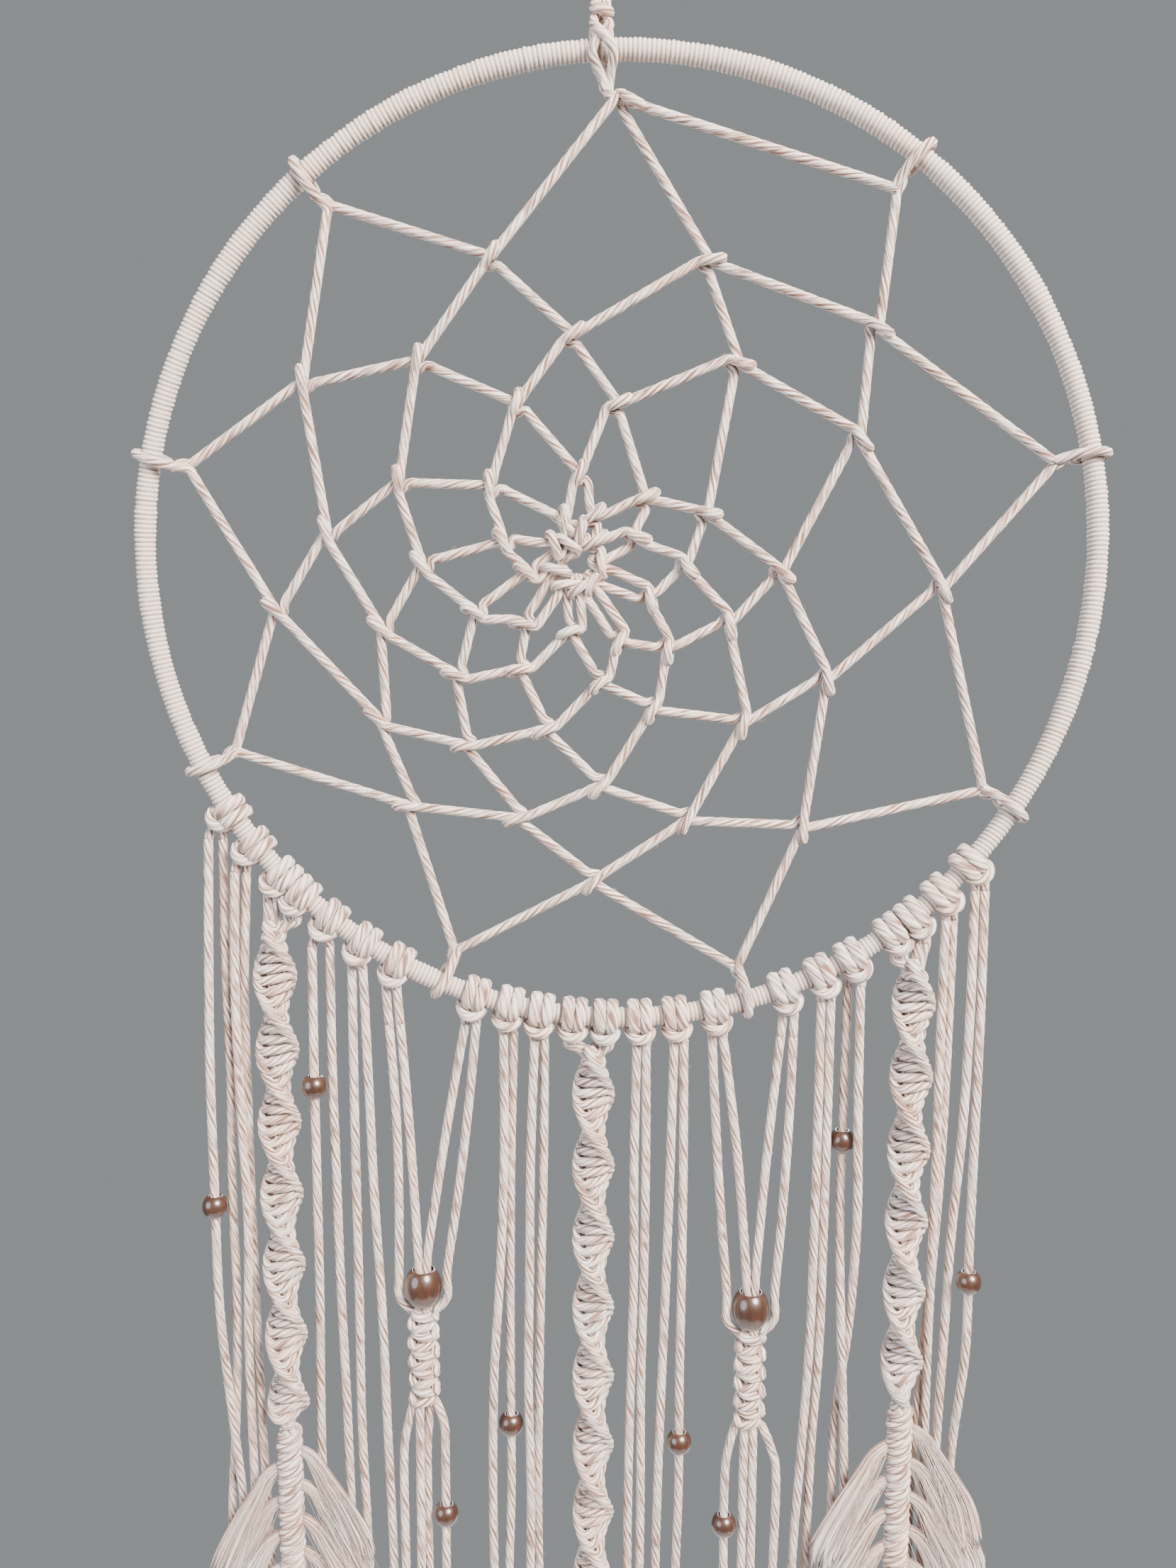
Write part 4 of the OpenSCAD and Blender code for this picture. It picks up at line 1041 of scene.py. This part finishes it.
def lockShape(line, widths, thick, seed, columns=46):
    # a combed tuft: a lens section carried along the line, its surface furrowed by strands that keep their
    # place across it, and its lower edge ragged because the columns end at different lengths
    rng = np.random.default_rng(seed)
    rings = len(line)
    tangent = unit(np.gradient(line, axis=0))
    depth = np.array([0.0, 1.0, 0.0])
    across = unit(np.cross(depth, tangent))
    q = np.linspace(-1, 1, columns)
    lens = np.sqrt(np.clip(1 - q**2, 0, 1)) * 0.85 + 0.15
    # ten or so strands of uneven width, each domed, so groove = (distance from the strand's middle) ^ 2.2
    edges = np.sort(rng.uniform(-1, 1, 11))
    edges = np.concatenate([[-1], edges[(edges > -0.93) & (edges < 0.93)], [1]])
    place = np.interp(q, edges, np.arange(len(edges)))
    groove = (
        np.abs(place % 1 - 0.5) * 2
    ) ** 2.2 * rng.uniform(0.7, 1.25, len(edges))[np.round(place).astype(int)]
    t = np.linspace(0, 1, rings)
    end = 1 - rng.uniform(0, 0.2, columns) - 0.12 * q**2
    tt = t[:, None] * end[None, :]
    # sample the line at each column's own share of the length
    base = np.stack([np.interp(tt, t, line[:, i]) for i in range(3)], -1)
    acr = np.stack([np.interp(tt, t, across[:, i]) for i in range(3)], -1)
    w = np.interp(tt, t, widths)
    th = np.interp(tt, t, thick)
    wave = 0.35 * np.sin(q * 9 + seed)[None, :] * tt
    mid = base + acr * (w * q[None, :] / 2)[..., None]
    thickHere = th * lens[None, :] * (1 - 0.6 * groove[None, :] * np.minimum(1, 3 * t + 0.3)[:, None])
    front = mid - depth * (thickHere / 2 + wave)[..., None]
    rear = mid + depth * (thickHere / 2 - wave)[..., None]
    ring = np.concatenate([front, rear[:, ::-1]], axis=1)
    sides = 2 * columns
    points = ring.reshape(-1, 3)
    i = np.arange(rings - 1)[:, None] * sides
    k = np.arange(sides)[None, :]
    k1 = (k + 1) % sides
    quads = np.stack([i + k, i + sides + k, i + sides + k1, i + k1], axis=-1).reshape(-1, 4)
    vShare = np.concatenate([np.linspace(0, 1, columns), np.linspace(1, 0, columns)]) * 0.9
    u = t * np.linalg.norm(np.diff(line, axis=0), axis=1).sum() + seed * 3.7
    u0 = np.broadcast_to(u[:-1, None], (rings - 1, sides))
    u1 = np.broadcast_to(u[1:, None], (rings - 1, sides))
    v0 = np.broadcast_to(vShare[None, :], (rings - 1, sides))
    v1 = np.broadcast_to(np.roll(vShare, -1)[None, :], (rings - 1, sides))
    uvs = np.stack(
        [np.stack([u0, v0], -1), np.stack([u1, v0], -1), np.stack([u1, v1], -1), np.stack([u0, v1], -1)], 2
    )
    # ends closed column by column with flat strips
    c = np.arange(columns - 1)
    startStrip = np.stack([c, c + 1, sides - 2 - c, sides - 1 - c], axis=1)
    last = (rings - 1) * sides
    endStrip = np.stack([last + c, last + sides - 1 - c, last + sides - 2 - c, last + c + 1], axis=1)
    stripUv = np.zeros((columns - 1, 4, 2))
    deep = np.concatenate([groove, groove[::-1]])
    # the grooves between strands become painted shade in the brushed cotton material
    crease = np.tile(deep, rings) * 0.9
    return newShape(
        points, [quads, startStrip, endStrip], [uvs.reshape(-1, 4, 2), stripUv, stripUv], crease
    )


def fringeShapes(i):
    # tails leave the spine right and left in turn every 12.5 mm, arch over and sweep down and outwards
    rng = np.random.default_rng(60 + i)
    top = featherPivot(i)
    full = feather["lengths"][i]
    reach = full - feather["start"]
    shapes = []
    count = int((full * feather["spineShare"] - feather["start"] - 4) / feather["tie"] * 2)
    roots, heads, bends, thicks = [], [], [], []
    for n in range(count):
        side = 1 if n % 2 == 0 else -1
        rootDown = feather["start"] + 3 + n * feather["tie"] / 2
        s = (rootDown - feather["start"]) / reach
        angle = math.radians(np.interp(s, [0, 0.5, 1.0], [27, 25, 11]) + rng.uniform(-2, 2))
        long = np.interp(s, [0, 0.35, 0.8, 1], [52, 56, 46, 34]) * rng.uniform(0.94, 1.06)
        room = reach + feather["start"] - rootDown
        long = min(long, room / math.cos(angle) * 0.99)
        x0 = feather["spineD"] / 2 - 1.6
        t = np.linspace(0, 1, 22)
        sideways = x0 + 2.4 * np.minimum(1, t * 8) + long * math.sin(angle) * (t + 0.04 * np.sin(np.pi * t))
        drop = long * math.cos(angle) * t**1.1 - 1.4 * np.exp(-((t * 10 - 0.8) ** 2)) + 0.4
        limit = leaf((rootDown + drop - feather["start"]) / reach)
        width = np.interp(t, [0, 0.08, 0.3, 0.7, 1], [3.2, 4.2, 6.6, 10.2, 11.5]) * rng.uniform(0.9, 1.1)
        sideways = np.minimum(sideways, np.maximum(limit - width * 0.32 * t, x0 + 1.2))
        y = (rng.uniform(-0.5, 0.5) - 0.6 * (n % 4 < 2)) * np.minimum(1, 3 * t)
        line = np.stack([side * sideways, y, -rootDown - drop], 1) + top
        thick = np.interp(t, [0, 0.1, 0.5, 1], [3.0, 3.2, 2.6, 1.0])
        shapes.append(lockShape(line, width, thick, 900 + 40 * i + n))
        # loose fibres over the tuft
        m = 60
        q = rng.uniform(-1.05, 1.05, m)
        a, b = rng.uniform(0.02, 0.5, m), rng.uniform(0.75, 1.06, m)
        tangent = unit(np.gradient(line, axis=0))
        acr = unit(np.cross(np.array([0.0, 1.0, 0.0]), tangent))
        for ends, store in ((a, roots), (b, heads)):
            e = np.clip(ends, 0, 1)
            p = np.stack([np.interp(e, t, line[:, c]) for c in range(3)], -1)
            o = np.stack([np.interp(e, t, acr[:, c]) for c in range(3)], -1)
            w = np.interp(e, t, width)
            th = np.interp(e, t, thick)
            p = p + o * (q * w / 2)[:, None] + np.array([0, -1, 0]) * (th / 2 * 0.9)[:, None]
            p = p + tangent[-1] * ((ends - e) * long)[:, None]
            store.append(p)
        bends.append(rng.normal(0, 0.5, (m, 3)) * [1, 0.5, 0.3])
        thicks.append(rng.uniform(0.05, 0.12, m))
    shapes.append(fibreShape(
        np.concatenate(roots), np.concatenate(heads), np.concatenate(bends), np.concatenate(thicks), rings=6
    ))
    return shapes


for i, name in enumerate(spiral["names"]):
    makePiece(
        f"spiralKnots_{name}", spiralKnotShapes(i), cottonCord, "hoop", [f"spiral_knots_{name}"],
    )
    makePiece(
        f"spiralSinnet_{name}", spiralShapes(i), cottonCord, f"spiral_{name}", [f"spiral_{name}"],
    )
    makePiece(
        f"featherSpine_{name}", spineShapes(i), cottonCord, f"feather_{name}", [f"feather_spine_{name}"],
    )
    makePiece(
        f"featherFringe_{name}", fringeShapes(i), brushedCotton, f"feather_{name}",
        [f"feather_fringe_{name}"],
    )
print("spirals and feathers made")


# ---- web ----
web = {
    "ringAngles": [92, 53, 12, 327.5, 286, 247, 206.5, 168.5, 130.5],
    "turns": [
        [89, 0.9], [41, 0.7], [354, 0.68], [304, 0.7], [265, 0.7], [229, 0.7], [188.5, 0.74], [151.5, 0.75],
        [114, 0.66], [73, 0.62], [25.5, 0.55], [329, 0.51], [284, 0.58], [248, 0.6], [213, 0.62],
        [175, 0.62],
        [136.5, 0.58], [102.5, 0.46], [58, 0.46], [354, 0.34], [306, 0.44], [264.5, 0.49], [230, 0.52],
        [196, 0.53], [161.5, 0.49], [125, 0.38], [91, 0.31], [26, 0.2], [327.5, 0.27], [281.5, 0.33],
        [246, 0.4], [215, 0.43], [182, 0.42], [152, 0.31], [117, 0.19], [67, 0.13], [350, 0.14],
        [296, 0.22],
        [260, 0.27], [227.5, 0.32], [200.5, 0.33], [173, 0.25], [147.6, 0.139], [124.4, 0.101], [50, 0.05],
        [303, 0.11], [268, 0.18], [235, 0.19], [214, 0.25], [189, 0.2], [170.3, 0.141], [148.2, 0.0975],
        [150.5, 0.0615], [201.2, 0.047], [221.7, 0.082], [216.6, 0.109], [206.6, 0.1305], [191.2, 0.14],
        [166.7, 0.115],
    ],
    "neck": 9.0,
    # half hitch on a cord: along the way round, inwards and forwards
    "hitch": [
        (-3.2, 2.6, 0.8), (-1.4, 1.1, 2.2), (0.8, -0.9, 2.6), (2.2, -2.5, 1.3), (1.8, -3.0, -0.8),
        (-0.2, -1.3, -2.4), (-2.2, 0.8, -2.2), (-1.6, 2.3, -1.9), (1.4, 2.8, -1.2),
    ],
    # hitch on the ring: along the ring, outwards from its middle and forwards
    "ringHitch": [
        (-0.9, -12.4, 0.5), (-0.9, -8.2, 1.9), (-1.0, -4.4, 3.9), (-0.6, -0.4, 4.8), (0.2, 3.2, 3.6),
        (0.8, 4.6, 0.2), (1.1, 3.4, -3.5), (1.0, -0.4, -4.8), (0.2, -4.6, -3.6), (-1.2, -6.4, -1.6),
        (0.6, -9.0, -1.2), (1.1, -12.4, -0.5),
    ],
}


def webPath():
    inner = hoop["radius"] - hoop["tube"] - web["neck"]
    ringCount = len(web["ringAngles"])
    spots = [polar(a, inner) for a in web["ringAngles"]]
    spots += [polar(a, hoop["radius"] * share) for a, share in web["turns"]]
    front = np.array([0.0, -1.0, 0.0])
    points = []
    last = None

    def addStraight(target, ease):
        # guard points keep a stretch straight between two turns
        away = target - last
        length = np.linalg.norm(away)
        if length > 3 * ease:
            points.append(last + away * (ease / length))
            points.append(target - away * (ease / length))

    for i, spot in enumerate(spots):
        if i == 0:
            part = [rimAt(92) - hoopCentre - polar(92, 5.0), spot + polar(92, 3.0), spot]
        elif i < ringCount:
            a = web["ringAngles"][i]
            e = math.radians(a)
            outward = np.array([math.cos(e), 0, math.sin(e)])
            way = np.array([math.sin(e), 0, -math.cos(e)])
            part = [
                polar(a, hoop["radius"]) + way * t + outward * o + front * f for t, o, f in web["ringHitch"]
            ]
        else:
            # inwards is the way the hitch pulls the older stretch
            older = (spots[i - ringCount] + spots[i - ringCount + 1]) / 2
            inward = unit(spot - older) * 0.6 + unit(-spot) * 0.4
            inward = unit(inward)
            way = np.cross(front, inward)
            part = [spot + way * t + inward * o + front * f for t, o, f in web["hitch"]]
        if last is not None:
            addStraight(part[0], 5.0)
        points += part
        last = points[-1]
        if i + ringCount < len(spots):
            apex = spots[i + ringCount]
            addStraight(apex, 4.0)
            points.append(apex)
            last = apex
    # the end comes to the front beside the last hitch and is cut short
    points += [
        last + np.array([-1.6, -2.2, 1.6]), last + np.array([-3.6, -3.2, 3.6]),
        last + np.array([-5.2, -3.0, 5.6])
    ]
    return np.array(points) + hoopCentre


webLine = smoothPath(webPath(), 1.3)
print("web cord length", round(float(np.sum(np.linalg.norm(np.diff(webLine, axis=0), axis=1)))), "mm")
makePiece(
    "webCord",
    [
        cordShape(webLine, sides=15), fuzz(webLine, twist["radius"], 1200, perMm=0.2),
        frayedEnd(webLine, twist["radius"], 9),
    ],
    cottonCord,
    "hoop", ["web"],
)


# ---- hanger ----
hanger = {
    "loop": [
        [-1.6, 0, -1], [-1.7, 0, -0.86], [-3, 0, -0.68], [-6.5, 0, -0.45], [-7.5, 0, -0.25],
        [-6.2, 0, -0.1],
        [-3.4, 0, -0.02], [0, 0, 0], [3.4, 0, -0.02], [6.2, 0, -0.1], [7.5, 0, -0.25], [6.5, 0, -0.45],
        [3, 0, -0.68], [1.7, 0, -0.86], [1.6, 0, -1],
    ],
    "loopH": 72.0,
    "wide": 17.85 / 15,
    "gatherH": 20.0,
    "gatherD": 8.0,
}
loopPoints = np.array(hanger["loop"], float)
loopPoints[:, 0] = np.where(
    np.abs(loopPoints[:, 0]) > 2, loopPoints[:, 0] * hanger["wide"], loopPoints[:, 0]
)
loopPoints[:, 2] = 1.425 + loopPoints[:, 2] * (hanger["loopH"] + 1.425 - knotSet["gap"])
loopLine = smoothPath(loopPoints, 1.2)
makePiece(
    "hangingLoop", [cordShape(loopLine, radius=1.42), fuzz(loopLine, 1.42, 1300)], cottonCord, "loop",
    ["hanging_loop"],
)

turns = 7
s = np.linspace(0, 1, turns * 26)
coilR = hanger["gatherD"] / 2 - 1.4
coil = np.stack([
    coilR * np.cos(2 * np.pi * turns * s), -coilR * np.sin(2 * np.pi * turns * s),
    -hanger["loopH"] - 1.9 - (hanger["gatherH"] - 3.6) * s,
], 1)
gatherShapes = [cordShape(evenPath(coil, 1.0), sides=20), fuzz(evenPath(coil, 1.0), 1.45, 1310, perMm=0.3)]
for side in (-1, 1):
    gatherShapes.append(cordShape(smoothPath([
        [side * 1.3, 0, -hanger["loopH"] - 0.6], [side * 1.3, 0, -82],
        [side * 1.3, 0, -hanger["loopH"] - hanger["gatherH"] + 0.4],
    ], 1.5), radius=1.25, sides=15))
makePiece("gatheringWrap", gatherShapes, cottonCord, "hanger", ["gathering_wrap"])

hangerLines = [
    # a small knot under the wrap, then two cords that cross over the front of the ring and meet below it
    [(-1.4, 0, -92.6), (-1.6, -0.4, -94.0), (-2.2, -2.2, -95.6),
      (0.4, -3.0, -96.4), (2.4, -1.4, -96.6), (1.6, 1.4, -96.2),
     (-0.8, 1.8, -96.4), (-2.0, -0.4, -97.6), (-2.2, -2.4, -100.4), (-0.8, -5.4, -103.2),
     (1.8, -6.2, -106.0),
     (3.6, -4.8, -109.2), (3.0, -2.4, -112.4), (2.4, -0.6, -115.4), (2.2, -0.2, -118.6)],
    [(1.4, 0, -92.6), (1.5, 0.4, -94.4), (1.2, 0.6, -97.4),
      (2.3, -1.8, -100.2), (0.9, -4.2, -103.0), (-1.7, -4.7, -106.0),
     (-2.9, -4.2, -109.0), (-1.2, -2.4, -112.4), (0.4, -0.9, -115.0), (0.9, -0.2, -118.2)],
    [
        (-1.2, 0.4, -97.5), (-2.2, 2.6, -100.5), (-2.4, 4.9, -105.4), (-2.0, 4.6, -108.6),
        (-0.6, 2.6, -112.0), (0.5, 0.9, -114.8)
    ],
    [
        (1.2, 0.6, -97.5), (2.2, 2.8, -100.5), (2.4, 4.9, -105.4), (2.4, 4.6, -108.6), (2.0, 2.6, -112.0),
        (1.9, 0.9, -114.8)
    ],
]
hangerShapes = []
for n, points in enumerate(hangerLines):
    line = smoothPath(points, 0.9)
    hangerShapes += [cordShape(line, phase=n, sides=20), fuzz(line, 1.45, 1320 + n, perMm=0.3)]
makePiece("hangerKnot", hangerShapes, cottonCord, "hoop", ["hanger_knot"])
print("web and hanger made")


# ---- floor ----
floorMesh = bpy.data.meshes.new("paleFloor")
half, floorZ = 0.62, -1.15
floorMesh.from_pydata(
    [(-half, -half, floorZ), (half, -half, floorZ), (half, half, floorZ), (-half, half, floorZ)], [],
    [(0, 1, 2, 3)]
)
floor = bpy.data.objects.new("paleFloor", floorMesh)
floorPaint, floorTree = newMaterial("mattFloorPaint")
floorSurface = addNode(
    floorTree, "ShaderNodeBsdfPrincipled", values={"Base Color": linearColour("#c9cbcc"), "Roughness": 0.8}
)
addNode(floorTree, "ShaderNodeOutputMaterial", {"Surface": floorSurface.outputs[0]})
floorMesh.materials.append(floorPaint)
bpy.context.scene.collection.objects.link(floor)

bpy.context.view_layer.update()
triangles = sum(
    len(
        p.vertices
    ) - 2 for o in bpy.data.objects if o.type == "MESH" and not o.hide_render for p in o.data.polygons
)
print("triangles shown", triangles)
